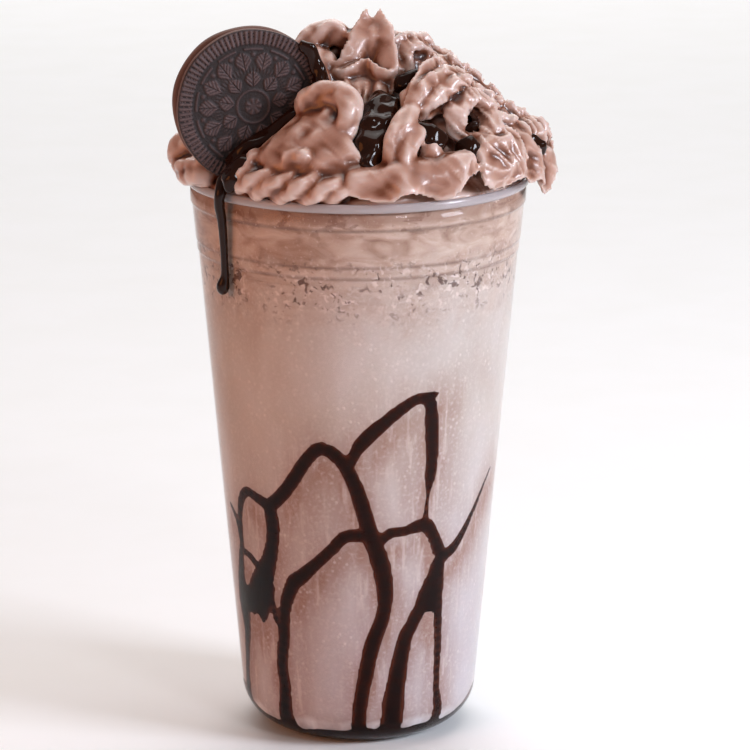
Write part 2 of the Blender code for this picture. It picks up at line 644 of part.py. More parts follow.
def build():
    clear_scene()
    parts = new_collection("milkshake")
    cutters = new_collection("cutters")
    clear_plastic = material("clear_plastic", (0.85, 0.85, 0.85), 0.08, alpha=0.3)
    shake_brown = material("shake", (0.46, 0.32, 0.27), 0.35)
    foam_brown = material("foam", (0.34, 0.20, 0.14), 0.5)
    cream_brown = material("cream", (0.36, 0.21, 0.16), 0.45)
    wafer_brown = material("wafer", (0.045, 0.028, 0.026), 0.6)
    filling_brown = material("filling", (0.12, 0.07, 0.055), 0.6)
    syrup_brown = material("syrup", (0.018, 0.006, 0.004), 0.08)
    place(cup(), parts, clear_plastic)
    syrup_inside(parts, cutters).data.materials.append(syrup_brown)
    shake(parts, cutters).data.materials.append(shake_brown)
    place(foam_layer(), parts, foam_brown)
    cream(parts, cutters).data.materials.append(cream_brown)
    place(wafer("cookie_front_wafer", 1), parts, wafer_brown)
    place(filling(), parts, filling_brown)
    place(wafer("cookie_back_wafer", -1), parts, wafer_brown)
    drip_tube("syrup_drip", 0.0, parts).data.materials.append(syrup_brown)


build()
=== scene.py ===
import math

import bpy
import numpy as np
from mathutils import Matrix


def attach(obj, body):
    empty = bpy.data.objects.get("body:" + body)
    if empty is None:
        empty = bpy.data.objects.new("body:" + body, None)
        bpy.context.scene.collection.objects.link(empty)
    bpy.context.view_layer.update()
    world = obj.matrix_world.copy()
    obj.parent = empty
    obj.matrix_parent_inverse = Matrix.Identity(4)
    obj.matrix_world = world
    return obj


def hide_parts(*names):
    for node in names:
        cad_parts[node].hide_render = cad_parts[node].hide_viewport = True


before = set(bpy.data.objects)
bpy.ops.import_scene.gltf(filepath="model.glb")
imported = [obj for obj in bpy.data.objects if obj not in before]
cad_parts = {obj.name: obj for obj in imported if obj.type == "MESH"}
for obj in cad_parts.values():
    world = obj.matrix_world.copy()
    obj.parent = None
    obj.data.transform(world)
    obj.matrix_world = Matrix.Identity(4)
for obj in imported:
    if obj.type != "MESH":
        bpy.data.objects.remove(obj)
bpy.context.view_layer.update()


# Cup
# The real cup is thermoformed from clear PET: a rolled lip, a stepped collar, a stacking rib, a plain cone
# and a round heel on a foot ring. It is one turned wall 0.8 mm thick, and everything else stands in it.
MM = 0.001
CUP_HEIGHT = 163.2
RIM_RADIUS = 49.0
WALL = 0.8
LIP_WIDTH = 1.7
LIP_DEPTH = 2.6
COLLAR_RADIUS = 48.0
COLLAR_FOOT = 155.8
COLLAR_STEP = 0.5
RIB_TOP = 144.8
RIB_BOTTOM = 142.0
RIB_RADIUS = 46.3
RIB_STEP = 0.3
HEEL_RADIUS = 12.8
HEEL_TOP_RADIUS = 34.3
FOOT_WIDTH = 4.5
FOOT_RECESS = 1.2
CUP_SIDES = 200


def arc(centre, radii, start, end, count):
    """Points of an elliptic arc in the plane of a profile, from one angle to another in degrees."""
    angle = np.radians(np.linspace(start, end, count))
    return np.column_stack([centre[0] + radii[0] * np.cos(angle), centre[1] + radii[1] * np.sin(angle)])


def wall_profile(inset):
    """The cup's wall as (radius, height) points from the foot ring to the lip, moved in by the inset. The
    heel is a quarter circle, and the rest are straight runs between the rib's and the collar's edges."""
    heel = arc((HEEL_TOP_RADIUS - HEEL_RADIUS, HEEL_RADIUS), [HEEL_RADIUS - inset] * 2, -90, 0, 24)
    runs = [
        (RIB_RADIUS - RIB_STEP - 0.15 - inset, RIB_BOTTOM - 0.4),
        (RIB_RADIUS - 0.1 - inset, RIB_BOTTOM),
        (RIB_RADIUS - inset, RIB_TOP - 0.2),
        (RIB_RADIUS + 0.25 - inset, RIB_TOP + 0.2),
        (COLLAR_RADIUS - COLLAR_STEP - inset, COLLAR_FOOT - 0.6),
        (COLLAR_RADIUS - inset, COLLAR_FOOT),
        (COLLAR_RADIUS + 0.1 - inset, CUP_HEIGHT - LIP_DEPTH / 2),
    ]
    return np.vstack([heel, runs])


def inside_radius(height, inset):
    """Radius of the wall at any heights, at a depth in it from its outside, read from its profile."""
    profile = wall_profile(inset)
    return np.interp(height, profile[:, 1], profile[:, 0])


def rounded(profile, cut=0.4, steps=4):
    """Each corner of a profile becomes a short quadratic arc between points a cut away on its two sides."""
    before, corner, after = profile[:-2], profile[1:-1], profile[2:]
    back, on = before - corner, after - corner
    reach_back = np.minimum(cut / np.linalg.norm(back, axis=1, keepdims=True), 0.45)
    reach_on = np.minimum(cut / np.linalg.norm(on, axis=1, keepdims=True), 0.45)
    t = np.linspace(0, 1, steps)[:, None, None]
    curve = (1 - t) ** 2 * (corner + back * reach_back) + 2 * t * (1 - t) * corner
    curve += t**2 * (corner + on * reach_on)
    return np.vstack([profile[:1], curve.transpose(1, 0, 2).reshape(-1, 2), profile[-1:]])


def outward(points, faces):
    """The faces of a closed shell, turned round if the sign of its volume says that they face inwards."""
    three = np.array([(face[0], face[i], face[i + 1]) for face in faces for i in range(1, len(face) - 1)])
    a, b, c = points[three.T]
    inwards = np.einsum("ij,ij->i", a, np.cross(b, c)).sum() < 0
    return [face[::-1] for face in faces] if inwards else faces


def mesh_object(name, points, faces):
    """A smooth mesh in metres from points in millimetres, linked to the scene."""
    mesh = bpy.data.meshes.new(name)
    mesh.from_pydata((points * MM).tolist(), [], faces)
    mesh.shade_smooth()
    made = bpy.data.objects.new(name, mesh)
    bpy.context.scene.collection.objects.link(made)
    return made


def grid_quads(rows, columns, shut=False):
    """Four-sided faces of a grid that wraps round its columns, and where it is shut, round its rows too."""
    row, column = np.mgrid[0 : rows - 1 + shut, 0:columns]
    beside = (column + 1) % columns
    here, above = row * columns, (row + 1) % rows * columns
    corners = [here + column, here + beside, above + beside, above + column]
    return np.stack(corners, axis=-1).reshape(-1, 4).tolist()


def end_fans(rows, columns):
    """Three-sided faces from each end row of a grid to one point, which comes after the grid's own."""
    around = np.arange(columns)
    ahead = (around + 1) % columns
    start = np.stack([0 * around + rows * columns, ahead, around], axis=1)
    end = np.stack([0 * around + columns + 1, around, ahead], axis=1) + (rows - 1) * columns
    return start.tolist() + end.tolist()


def closed_grids(name, *grids):
    """One mesh of grids of (rows, columns, 3) points, whose columns wrap round and whose ends are shut."""
    points, faces, count = [], [], 0
    for grid in grids:
        size = grid.shape[:2]
        shell = np.vstack([grid.reshape(-1, 3), grid[0].mean(axis=0), grid[-1].mean(axis=0)])
        faces += [[count + i for i in face] for face in outward(shell, grid_quads(*size) + end_fans(*size))]
        points.append(shell)
        count += len(shell)
    return mesh_object(name, np.vstack(points), faces)


def whole_turn(count):
    """Even angles once round, in radians."""
    return np.linspace(0, 2 * np.pi, count, endpoint=False)


def round_axis(out, angle, *rest):
    """A place at a distance from the cup's axis, at an angle from the front towards the right."""
    return (out * np.sin(angle), -out * np.cos(angle), *rest)


def turned(profile, sides):
    """A profile of (radius, height) turned about the cup's axis, as a grid of rows of points."""
    angle = whole_turn(sides)
    return np.stack(round_axis(profile[:, :1], angle, profile[:, 1:] + 0 * angle), axis=-1)


def linear(colour):
    """An sRGB hex colour as linear red, green, blue and 1."""
    share = np.array([int(colour[i : i + 2], 16) / 255 for i in (1, 3, 5)])
    light = np.where(share <= 0.04045, share / 12.92, ((share + 0.055) / 1.055) ** 2.4)
    return (*light.tolist(), 1.0)


def add(material, kind, inputs=None, **settings):
    """Adds a node with its settings. An input is a value, or the output of another node, which is linked."""
    made = material.node_tree.nodes.new("ShaderNode" + kind)
    for key, value in settings.items():
        setattr(made, key, value)
    for key, value in (inputs or {}).items():
        if isinstance(value, bpy.types.NodeSocket):
            material.node_tree.links.new(value, made.inputs[key])
        else:
            made.inputs[key].default_value = value
    return made


def new_material(name):
    """An empty material with its Object coordinates in metres."""
    made = bpy.data.materials.new(name)
    made.use_nodes = True
    made.node_tree.nodes.clear()
    return made, add(made, "TexCoord").outputs["Object"]


def blend_of(material, stops, factor):
    """A colour that goes through sRGB hex stops as the factor goes from 0 to 1."""
    ramp = add(material, "ValToRGB", {"Fac": factor})
    for place, colour in stops[1:-1]:
        ramp.color_ramp.elements.new(place)
    for element, (place, colour) in zip(ramp.color_ramp.elements, stops):
        element.position = place
        element.color = linear(colour)
    return ramp.outputs["Color"]


def mixed(material, first, second, share):
    """Two colours mixed by a share from 0 to 1. Each colour is a socket or an sRGB hex."""
    first, second = (linear(colour) if isinstance(colour, str) else colour for colour in (first, second))
    return add(material, "Mix", {"Factor": share, 6: first, 7: second}, data_type="RGBA").outputs[2]


def layered(material, colour, layers):
    """A colour under layers, one after another. Each layer is a tint and its share from 0 to 1."""
    for tint, share in layers:
        colour = mixed(material, colour, tint, share)
    return colour


def between(material, value, low, high, reach=1.0, start=0.0):
    """How far a value is on its way from low to high, as a number that goes from the start to the reach."""
    settings = {"Value": value, "From Min": low, "From Max": high, "To Min": start, "To Max": reach}
    return add(material, "MapRange", settings).outputs["Result"]


def maths(material, operation, *values):
    """One Math node on two or three values or sockets."""
    return add(material, "Math", dict(enumerate(values)), operation=operation).outputs["Value"]


def times(material, first, second):
    """The product of two values or sockets."""
    return maths(material, "MULTIPLY", first, second)


def grain(material, coordinates, size, detail=4.0, stretch=None, distortion=0.0):
    """A noise from 0 to 1 with lumps about size millimetres wide, drawn out by a stretch along each axis."""
    if stretch is not None:
        coordinates = add(material, "Mapping", {"Vector": coordinates, "Scale": stretch}).outputs["Vector"]
    settings = {"Vector": coordinates, "Scale": 1 / (size * MM), "Detail": detail, "Distortion": distortion}
    return add(material, "TexNoise", settings).outputs["Fac"]


def raised(material, height, depth):
    """A bump of depth millimetres, by a height from 0 to 1."""
    inputs = {"Height": height, "Distance": depth * MM, "Strength": 1.0}
    return add(material, "Bump", inputs).outputs["Normal"]


def surface(material, inputs):
    """Ends a material in a Principled shader with these inputs."""
    shader = add(material, "BsdfPrincipled", inputs).outputs["BSDF"]
    add(material, "OutputMaterial", {"Surface": shader})
    return material


def wear(piece, material, node):
    """Gives a finished piece its material and slot, and puts it in place of its CAD node."""
    piece.data.materials.append(material)
    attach(piece, "root")
    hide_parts(node)


def clear_pet():
    """Clear moulded PET: almost colourless, a gloss with faint ripples from the mould. Its IOR is 1.57,
    and 1.22 here keeps the shine of so thin a wall low. Lamps shine through it, as they do through so
    thin a wall."""
    material, place = new_material("clear_pet_moulded")
    ripple = grain(material, place, 9.0, detail=2.0, stretch=(1, 1, 0.4))
    body = {
        "Base Color": linear("#F7F8F8"),
        "Roughness": between(material, ripple, 0, 1, 0.09, 0.02),
        "IOR": 1.22,
        "Transmission Weight": 1.0,
        "Normal": raised(material, ripple, 0.12),
    }
    plastic = add(material, "BsdfPrincipled", body).outputs["BSDF"]
    film = add(material, "BsdfTransparent", {"Color": linear("#F4F4F4")}).outputs["BSDF"]
    lamp = add(material, "LightPath").outputs["Is Shadow Ray"]
    either = add(material, "MixShader", {0: lamp, 1: plastic, 2: film}).outputs["Shader"]
    add(material, "OutputMaterial", {"Surface": either})
    return material


def cup_profile():
    """The wall's inside from the floor up to the middle of the lip, and its outside back down."""
    foot_inside = HEEL_TOP_RADIUS - HEEL_RADIUS - FOOT_WIDTH
    recess = FOOT_RECESS + WALL
    floor = [(0.01, recess), (foot_inside - 0.4, recess), (foot_inside + 0.8, WALL + 0.15)]
    under = [(foot_inside, 0.0), (foot_inside - 0.8, FOOT_RECESS), (0.01, FOOT_RECESS)]
    inside = wall_profile(WALL)
    outside = wall_profile(0.0)[::-1]
    corners = 8
    inner = [inside[:-corners], rounded(inside[-corners:])]
    outer = [rounded(outside[:corners]), outside[corners:]]
    return np.vstack([floor, *inner, *outer, under])


cup = closed_grids("cup_wall", turned(cup_profile(), CUP_SIDES))
wear(cup, clear_pet(), "cup")


# Lip
# The wall's top edge, rolled outwards into a bead of the same clear PET. The bead is painted paler than
# the wall, a pale lavender white that stands for its bright highlight.
LIP_CENTRE = (RIM_RADIUS - LIP_WIDTH / 2, CUP_HEIGHT - LIP_DEPTH / 2)


def rolled_lip():
    """A ring of elliptic section round the mouth, as points and faces that wrap both ways."""
    grid = turned(arc(LIP_CENTRE, (LIP_WIDTH / 2, LIP_DEPTH / 2), 0, 345, 24), CUP_SIDES)
    points = grid.reshape(-1, 3)
    return points, outward(points, grid_quads(*grid.shape[:2], shut=True))


def rolled_pet_painted_highlight():
    """The same PET where it is rolled: a little over half clear, and the rest a pale lavender white that
    scatters light, a painted highlight. Fine scuffs make its gloss uneven."""
    material, place = new_material("clear_pet_rolled_edge")
    scuffs = grain(material, place, 3.0, detail=5.0)
    gloss = between(material, scuffs, 0, 1, 0.22, 0.08)
    # The pale lavender white share that is not transmitted is a painted highlight.
    body = {"Base Color": linear("#EEE3E4"), "Roughness": gloss, "IOR": 1.4, "Transmission Weight": 0.6}
    return surface(material, body)


lip = mesh_object("cup_lip_rolled", *rolled_lip())
wear(lip, rolled_pet_painted_highlight(), "cup")


# Shake
# A thick shake of milk, ice cream and cocoa, poured in over the syrup. It wets the wall all the way up, so
# its piece reaches a little into it, and its colour carries air bubbles and brown drags of syrup.
SHAKE_BOTTOM = 3.4
SHAKE_TOP = 139.0
WETTING = 0.06
SHAKE_ROWS = 210
SHAKE_SIDES = 360
STAIN_RUN = 6.0
STAIN_FADE = 9.0
UNROLLED_DEGREE = 0.7
FINE_STEP = 1.1
ROUGH_STEP = 2.5
FRONT_STRANDS = {
    "tall_arch": [(-41, 72, 1.8), (-34, 76, 1.6), (-28, 81, 1.6), (-20, 89, 1.5), (-14, 92, 1.5),
        (-6, 88, 1.5), (0, 79, 1.7), (5, 67, 1.9), (10, 57, 2.1), (12, 48, 1.8), (11, 41, 1.6),
        (7, 34, 1.8), (4, 25, 1.7), (1, 14, 1.6), (0, 5, 1.8)],
    "low_arch": [(-39, 4, 3.0), (-39, 9, 2.2), (-38, 17, 1.6), (-39, 24, 1.6), (-37, 32, 1.6),
        (-35, 42, 1.6), (-30, 50, 1.8), (-25, 53, 1.7), (-17, 58, 1.3), (-11, 62, 1.3), (-5, 66, 1.4),
        (4, 66, 1.4)],
    "right_peak": [(-4, 86, 1.0), (-1, 91, 1.3), (3, 95, 1.7), (9, 99, 1.6), (16, 103, 1.4), (23, 106, 1.2),
        (28, 106, 1.2), (33, 107.5, 0.5)],
    "right_fall": [(29, 106.5, 1.5), (30, 98, 1.7), (31, 88, 1.5), (30.5, 82, 1.3), (30, 78, 0.6),
        (29.5, 73, 0.5), (29, 67, 1.0)],
    "middle_bridge": [(9, 63, 1.0), (13, 66.5, 1.2), (20, 67, 1.1), (26, 68, 1.5), (30, 68, 1.7),
        (34, 64, 1.5), (38, 58, 1.8)],
    "right_rise": [(38, 57, 1.5), (45, 59, 1.3), (51, 63, 1.0), (58, 69, 0.7), (65, 75, 0.5), (73, 80, 0.4)],
    "right_leg": [(38, 58, 1.8), (36, 53, 1.9), (32, 48, 1.8), (29, 43, 1.7), (25, 38, 1.7), (22, 34, 1.8),
        (20, 27, 2.0), (18, 19, 2.4), (17, 11, 2.7), (17, 5, 2.8)],
    "right_web": [(37, 54, 1.6), (35.5, 49, 2.2), (34.5, 44.5, 2.9), (34, 41, 3.2)],
    "thin_leg": [(38, 57, 1.6), (38.5, 47, 1.2), (39, 40, 1.2), (40, 32, 1.0), (40.5, 25, 0.9),
        (41, 17, 0.9), (43, 10, 1.4), (43, 5, 1.6)],
    "left_edge": [(-72, 69, 0.6), (-65, 65, 0.8), (-62, 59, 1.0), (-64, 53, 1.2), (-66, 46, 2.2),
        (-66, 39, 2.8), (-65, 32, 1.9), (-67, 25, 1.3), (-70, 17, 1.2), (-72, 8, 2.2)],
    "left_peak": [(-62, 59, 1.0), (-61, 67, 1.0), (-58, 72.5, 1.2), (-53, 75, 1.1), (-47, 74, 1.2),
        (-40, 72.5, 1.7)],
    "left_mass": [(-40, 73, 1.8), (-39, 67, 2.0), (-40, 61, 1.9), (-43, 55, 2.4), (-48, 49, 3.4),
        (-54, 43, 3.6), (-61, 40, 3.0)],
    "left_pool": [(-61, 44, 2.4), (-58, 41, 2.9), (-52, 40, 2.8)],
    "left_drop": [(-44, 50, 2.4), (-46, 44, 2.4), (-49, 39, 1.8), (-49.5, 35.5, 1.0)],
    "left_link": [(-43, 45, 1.0), (-41.5, 40, 0.8), (-39, 36, 0.9)],
    "left_window": [(-63, 55.5, 0.9), (-57, 55.5, 0.8), (-50, 53, 1.2)],
}
BACK_STRANDS = ("tall_arch", "low_arch", "right_peak", "right_leg")
BACK_TURN = 178
MILK_GLOW = {"Subsurface Weight": 0.2, "Subsurface Radius": (1.0, 0.7, 0.5), "Subsurface Scale": 1.5 * MM}


def smooth_route(route, spacing, measured=3):
    """A Catmull-Rom curve through the route's points, read at even steps of its length. Its first columns
    are places in millimetres, and the others, such as a radius, are carried along."""
    keys = np.array(route, float)
    padded = np.vstack([2 * keys[0] - keys[1], keys, 2 * keys[-1] - keys[-2]])
    span = np.linspace(0, len(keys) - 1, 24 * len(keys))
    number = np.minimum(span.astype(int), len(keys) - 2)
    t = (span - number)[:, None]
    a, b, c, d = (padded[number + i] for i in range(4))
    dense = b + 0.5 * t * ((c - a) + t * ((2 * a - 5 * b + 4 * c - d) + t * (3 * (b - c) + d - a)))
    steps = np.linalg.norm(np.diff(dense[:, :measured], axis=0), axis=1)
    length = np.concatenate([[0], np.cumsum(steps)])
    even = np.linspace(0, length[-1], max(3, int(round(length[-1] / spacing)) + 1))
    return np.column_stack([np.interp(even, length, column) for column in dense.T])


def unrolled_strands(spacing):
    """Every strand of the drizzle as (millimetres along, height, radius) points, and its turn in degrees.
    In the table a point is degrees round from the front, its height and its radius."""
    for turn, names in ((0, tuple(FRONT_STRANDS)), (BACK_TURN, BACK_STRANDS)):
        for name in names:
            route = [(UNROLLED_DEGREE * a, height, radius) for a, height, radius in FRONT_STRANDS[name]]
            yield smooth_route(route, spacing, measured=2), turn


def near_drizzle(points):
    """How far each point on the wall is from the edge of the nearest strand, in millimetres."""
    azimuth = np.degrees(np.arctan2(points[:, 0], -points[:, 1]))
    nearest = np.full(len(points), 40.0)
    for strand, turn in unrolled_strands(ROUGH_STEP):
        for along, height, radius in strand:
            swing = (azimuth - along / UNROLLED_DEGREE - turn + 180) % 360 - 180
            apart = np.hypot(UNROLLED_DEGREE * swing, points[:, 2] - height) - radius
            np.minimum(nearest, apart, out=nearest)
    return nearest


def keep_attribute(piece, name, values):
    """A number for each point of the mesh, or one for all, which the material reads by its name."""
    attribute = piece.data.attributes.new(name, "FLOAT", "POINT")
    attribute.data.foreach_set("value", np.float32(values) * np.ones(len(attribute.data), np.float32))


def vectors_of(piece, name):
    """One vector of each point of the mesh, such as its place or normal, as the rows of an array."""
    flat = np.empty(len(piece.data.vertices) * 3, np.float32)
    piece.data.vertices.foreach_get(name, flat)
    return flat.reshape(-1, 3).astype(float)


def points_of(piece):
    """The mesh's points in millimetres."""
    return vectors_of(piece, "co") / MM


def stored(material, name):
    """A number that the mesh keeps for each of its points."""
    return add(material, "Attribute", attribute_name=name).outputs["Fac"]


def height_of(material, place):
    """How high a place is, in metres."""
    return add(material, "SeparateXYZ", {"Vector": place}).outputs["Z"]


def apart_from(material, value, middle):
    """How far a value is from a middle one, either way."""
    return maths(material, "ABSOLUTE", maths(material, "SUBTRACT", value, middle))


def milk_colour(material, place):
    """The shake and the foam over it as one cloudy blend by height, so that no border shows: pinkish grey
    below, brown swirls above. Thin brown lines at the steps of the collar and the rib are painted shade of
    the steps. Between the two lie small voids with pale rims, where bubbles burst against the wall; their
    dark insides are painted shade."""
    height = height_of(material, place)
    clouds = grain(material, place, 16.0, detail=3.0, stretch=(1, 1, 0.55), distortion=0.4)
    low = blend_of(material, [(0.25, "#B29E93"), (0.5, "#BCADA4"), (0.78, "#C6BAB4")], clouds)
    swirls = grain(material, place, 10.0, detail=4.0, stretch=(1, 1, 2.2), distortion=0.9)
    high = blend_of(material, [(0.3, "#997867"), (0.48, "#B49888"), (0.7, "#C8B2A6")], swirls)
    ragged = grain(material, place, 6.0, detail=6.0)
    level = maths(material, "MULTIPLY_ADD", ragged, 34 * MM, height)
    smears = grain(material, place, 4.5, detail=3.0, stretch=(0.7, 0.7, 1.5), distortion=0.6)
    top = between(material, height, 0.150, 0.159)
    layers = [
        ("#C2BAC8", between(material, height, 0.1, 0.03, 0.4)),
        (high, between(material, level, 0.141, 0.167)),
        ("#6F4B3D", times(material, between(material, smears, 0.55, 0.63, 0.8), top)),
        ("#86604F", between(material, height, 0.1565, 0.158, 0.55)),
    ]
    # Painted shade: thin brown lines along the steps of the collar and the rib.
    for step in (COLLAR_FOOT - 0.2, RIB_TOP, RIB_BOTTOM - 0.4):
        line = between(material, apart_from(material, height, step * MM), 0.8 * MM, 0.1 * MM)
        layers.append(("#6B4A3E", times(material, line, ragged)))
    band = between(material, apart_from(material, height, 0.138), 11 * MM, 3 * MM)
    patches = grain(material, place, 11.0, detail=3.0)
    where = times(material, band, between(material, patches, 0.38, 0.48))
    pits = grain(material, place, 2.3, detail=3.0, distortion=0.5)
    specks = grain(material, place, 1.7, detail=3.0, distortion=0.4)
    # The dark of the voids is painted shade inside them.
    hole = times(material, between(material, pits, 0.58, 0.63), where)
    layers.append(("#DCCBC4", times(material, between(material, specks, 0.56, 0.66, 0.8), where)))
    layers.append(("#5C4037", times(material, hole, 0.9)))
    return layered(material, low, layers), hole


def milky_shake():
    """Blended shake: matt milk fat with a soft depth of light. Its pale bubbles are about a millimetre
    across, syrup drags brown streaks down beside the strands, and it turns paler in cloudy patches near its
    foot."""
    material, place = new_material("milk_shake_blended")
    colour, _ = milk_colour(material, place)
    streaks = grain(material, place, 2.6, detail=4.0, stretch=(1, 1, 0.09))
    stain = stored(material, "stain")
    clouded = grain(material, place, 7.0, detail=3.0, stretch=(1, 1, 0.3))
    both = maths(material, "MULTIPLY_ADD", streaks, 0.5, clouded)
    dragged = between(material, times(material, both, stain), 0.16, 0.8, 0.8)
    washed = grain(material, place, 2.0, detail=3.0, stretch=(1, 1, 0.12))
    near = between(material, stain, 0.2, 0.6, 0.35)
    wash = times(material, between(material, washed, 0.56, 0.7), near)
    foot = between(material, height_of(material, place), 14 * MM, 8 * MM)
    pale_foot_patches = times(material, foot, clouded)
    cells = add(material, "TexVoronoi", {"Vector": place, "Scale": 1 / (2.1 * MM)}).outputs["Distance"]
    thick = grain(material, place, 9.0, detail=2.0)
    bubbles = between(material, cells, 0.3, 0.12)
    bubbles = times(material, bubbles, between(material, thick, 0.4, 0.65))
    fine = grain(material, place, 1.0, detail=3.0)
    layers = [
        ("#8E5F4C", dragged),
        ("#E0D2CD", wash),
        ("#E6E0E2", between(material, pale_foot_patches, 0.38, 0.6, 0.8)),
        ("#DDD0CA", between(material, fine, 0.5, 0.8, 0.35)),
        ("#E6DAD4", times(material, bubbles, 0.35)),
    ]
    colour = layered(material, colour, layers)
    relief = raised(material, bubbles, 0.06)
    return surface(material, {"Base Color": colour, "Roughness": 0.45, "Normal": relief, **MILK_GLOW})


def side_and_top(low, high, rows, inset):
    """A profile that follows the wall between two heights, then runs in to the axis as a flat top."""
    heights = np.linspace(low, high, rows)
    side = np.column_stack([inside_radius(heights, inset), heights])
    return np.vstack([side, [(side[-1, 0] * share, high) for share in (0.97, 0.6, 0.02)]])


def filling_grid(low, high, rows, sides):
    """A filling between two heights, with a flat bottom, turned about the axis."""
    profile = side_and_top(low, high, rows, WALL - WETTING)
    bottom = [(profile[0, 0] * share, low) for share in (0.02, 0.6, 0.97)]
    return turned(np.vstack([bottom, profile]), sides)


shake = closed_grids("shake_fill", filling_grid(SHAKE_BOTTOM, SHAKE_TOP + 0.4, SHAKE_ROWS, SHAKE_SIDES))
above = points_of(shake) + np.array((0.0, 0.0, STAIN_RUN))
keep_attribute(shake, "stain", np.exp(-near_drizzle(above).clip(0) / STAIN_FADE))
wear(shake, milky_shake(), "shake")


# Drizzle and pool
# Chocolate syrup squeezed round the inside of the empty cup before it is filled. It runs down the wall in
# arches and legs that widen where they meet, and it gathers in a pool on the floor of the cup.
SYRUP_WETTING = 0.16
PRESS_REACH = 0.2
POOL_TOP = 5.8
POOL_STILL = 2.0
POOL_WETTING = 0.5
POOL_ROWS = 12
POOL_SIDES = 120
POOL_RISE = 7.0
POOL_RISE_ANGLE = 1.4
POOL_RISE_WIDTH = 0.27
STRAND_SIDES = 14
STRAND_SPREAD = 1.22
STRAND_EXTRA = 0.35
STRAND_SWELL = 0.8
DRIZZLE_VOXEL = 0.55


def quarter_round(share, least):
    """A quarter circle that rises from about 0 to 1 as the share goes from its least value to 1."""
    return np.sqrt(1 - (1 - np.clip(share, least, 1)) ** 2)


def strand_grid(strand, turn):
    """A strand pressed flat on the wall: across, a half circle that bulges inwards, and a flat back that
    follows the wall. Both ends narrow to a point."""
    along, height, radius = strand.T
    radius = radius + STRAND_EXTRA * np.clip(radius, 0, 1)
    step = np.gradient(np.column_stack([along, height]), axis=0)
    step /= np.linalg.norm(step, axis=1, keepdims=True)
    angle = whole_turn(STRAND_SIDES)
    ends = np.minimum(np.arange(len(along)), np.arange(len(along))[::-1])
    narrow = quarter_round(ends / 2.5, 0.02)
    across = STRAND_SPREAD * (radius * narrow)[:, None] * np.cos(angle)
    bulge = np.sin(angle)
    depth = np.where(bulge > 0, STRAND_SWELL * (radius * narrow)[:, None] * bulge, 0.5 * bulge)
    up = height[:, None] + step[:, :1] * across
    out = inside_radius(up, WALL) - depth
    azimuth = np.radians(along[:, None] / UNROLLED_DEGREE + turn) - step[:, 1:] * across / np.maximum(out, 20)
    return np.stack(round_axis(out, azimuth, up), axis=-1)


def fused(piece, voxel, smoothing):
    """Joins the shells of a piece into one skin by a voxel remesh, then evens it by smoothing its points."""
    remesh = piece.modifiers.new("Fuse", "REMESH")
    remesh.mode = "VOXEL"
    remesh.voxel_size = voxel * MM
    remesh.use_smooth_shade = True
    soften = piece.modifiers.new("Even", "SMOOTH")
    soften.iterations = smoothing
    soften.factor = 0.5
    graph = bpy.context.evaluated_depsgraph_get()
    mesh = bpy.data.meshes.new_from_object(piece.evaluated_get(graph))
    piece.modifiers.clear()
    old = piece.data
    piece.data = mesh
    bpy.data.meshes.remove(old)
    mesh.name = piece.name
    return piece


def put_points(piece, points):
    """Puts points in millimetres back into the mesh."""
    piece.data.vertices.foreach_set("co", (points * MM).astype(np.float32).ravel())
    piece.data.update()


def press_on_wall(piece, reach, inset):
    """Points that lie within reach of the inside of the wall are laid on one even surface there."""
    points = points_of(piece)
    out = np.hypot(points[:, 0], points[:, 1])
    wall = inside_radius(points[:, 2], inset)
    close = (out > wall - reach) & (points[:, 2] > 2 * WALL + FOOT_RECESS)
    points[close, :2] *= (wall[close] / out[close])[:, None]
    put_points(piece, points)


def dark_syrup(name, thin_colour, deep_colour, shine):
    """Chocolate syrup: a glossy water-and-sugar film, IOR about 1.45, almost black where it is thick and a
    warm red brown at its thin edges. Where it lies on the plastic it has hardly any shine of its own."""
    material, place = new_material(name)
    thin = stored(material, "thin")
    cloud = grain(material, place, 3.0, detail=3.0)
    depth = maths(material, "MULTIPLY_ADD", cloud, 0.3, thin)
    colour = blend_of(material, [(0.15, deep_colour), (0.5, thin_colour), (0.85, "#4C2317")], depth)
    ripple = grain(material, place, 3.0, detail=1.0)
    inputs = {
        "Base Color": colour,
        "Roughness": 0.09,
        "IOR": 1.45,
        "Specular IOR Level": 0.5 * shine,
        "Coat Weight": 0.5 * shine,
        "Coat Roughness": 0.04,
        "Normal": raised(material, ripple, 0.05),
    }
    return surface(material, inputs)


def pool_grid():
    """The pool from the axis out over the raised floor, down into the foot's ring, up the heel, and back
    in. Its top wavers by three sines, and it climbs the heel at the left and right by a bell curve."""
    inset = WALL - POOL_WETTING
    floor = FOOT_RECESS + inset
    foot_inside = HEEL_TOP_RADIUS - HEEL_RADIUS - FOOT_WIDTH
    bottom = [(0.3, floor), (foot_inside - 0.4, floor), (foot_inside + 0.8, inset)]
    grid = turned(np.vstack([bottom, side_and_top(inset, POOL_TOP, POOL_ROWS, inset)]), POOL_SIDES)
    around = np.arctan2(grid[..., 0], -grid[..., 1])
    lift = 0.5 * np.sin(3 * around + 0.6) + 0.4 * np.sin(7 * around + 2.0) + 0.3 * np.sin(13 * around)
    lift += POOL_RISE * np.exp(-(((np.abs(around) - POOL_RISE_ANGLE) / POOL_RISE_WIDTH) ** 2))
    grid[..., 2] += lift * ((grid[..., 2] - POOL_STILL) / (POOL_TOP - POOL_STILL)).clip(0, 1)
    on_wall = grid[len(bottom) : len(bottom) + POOL_ROWS]
    reach = inside_radius(on_wall[..., 2], inset) / np.hypot(on_wall[..., 0], on_wall[..., 1])
    on_wall[..., :2] *= reach[..., None]
    return grid


def thinness(points):
    """How thin the syrup is: an exponential that grows towards a strand's edge. The pool is deep."""
    edge = np.exp((near_drizzle(points) - 0.35).clip(-3, 0.3) * 1.8) * 0.6
    return np.where(points[:, 2] < POOL_TOP + 2, 0.1, edge)


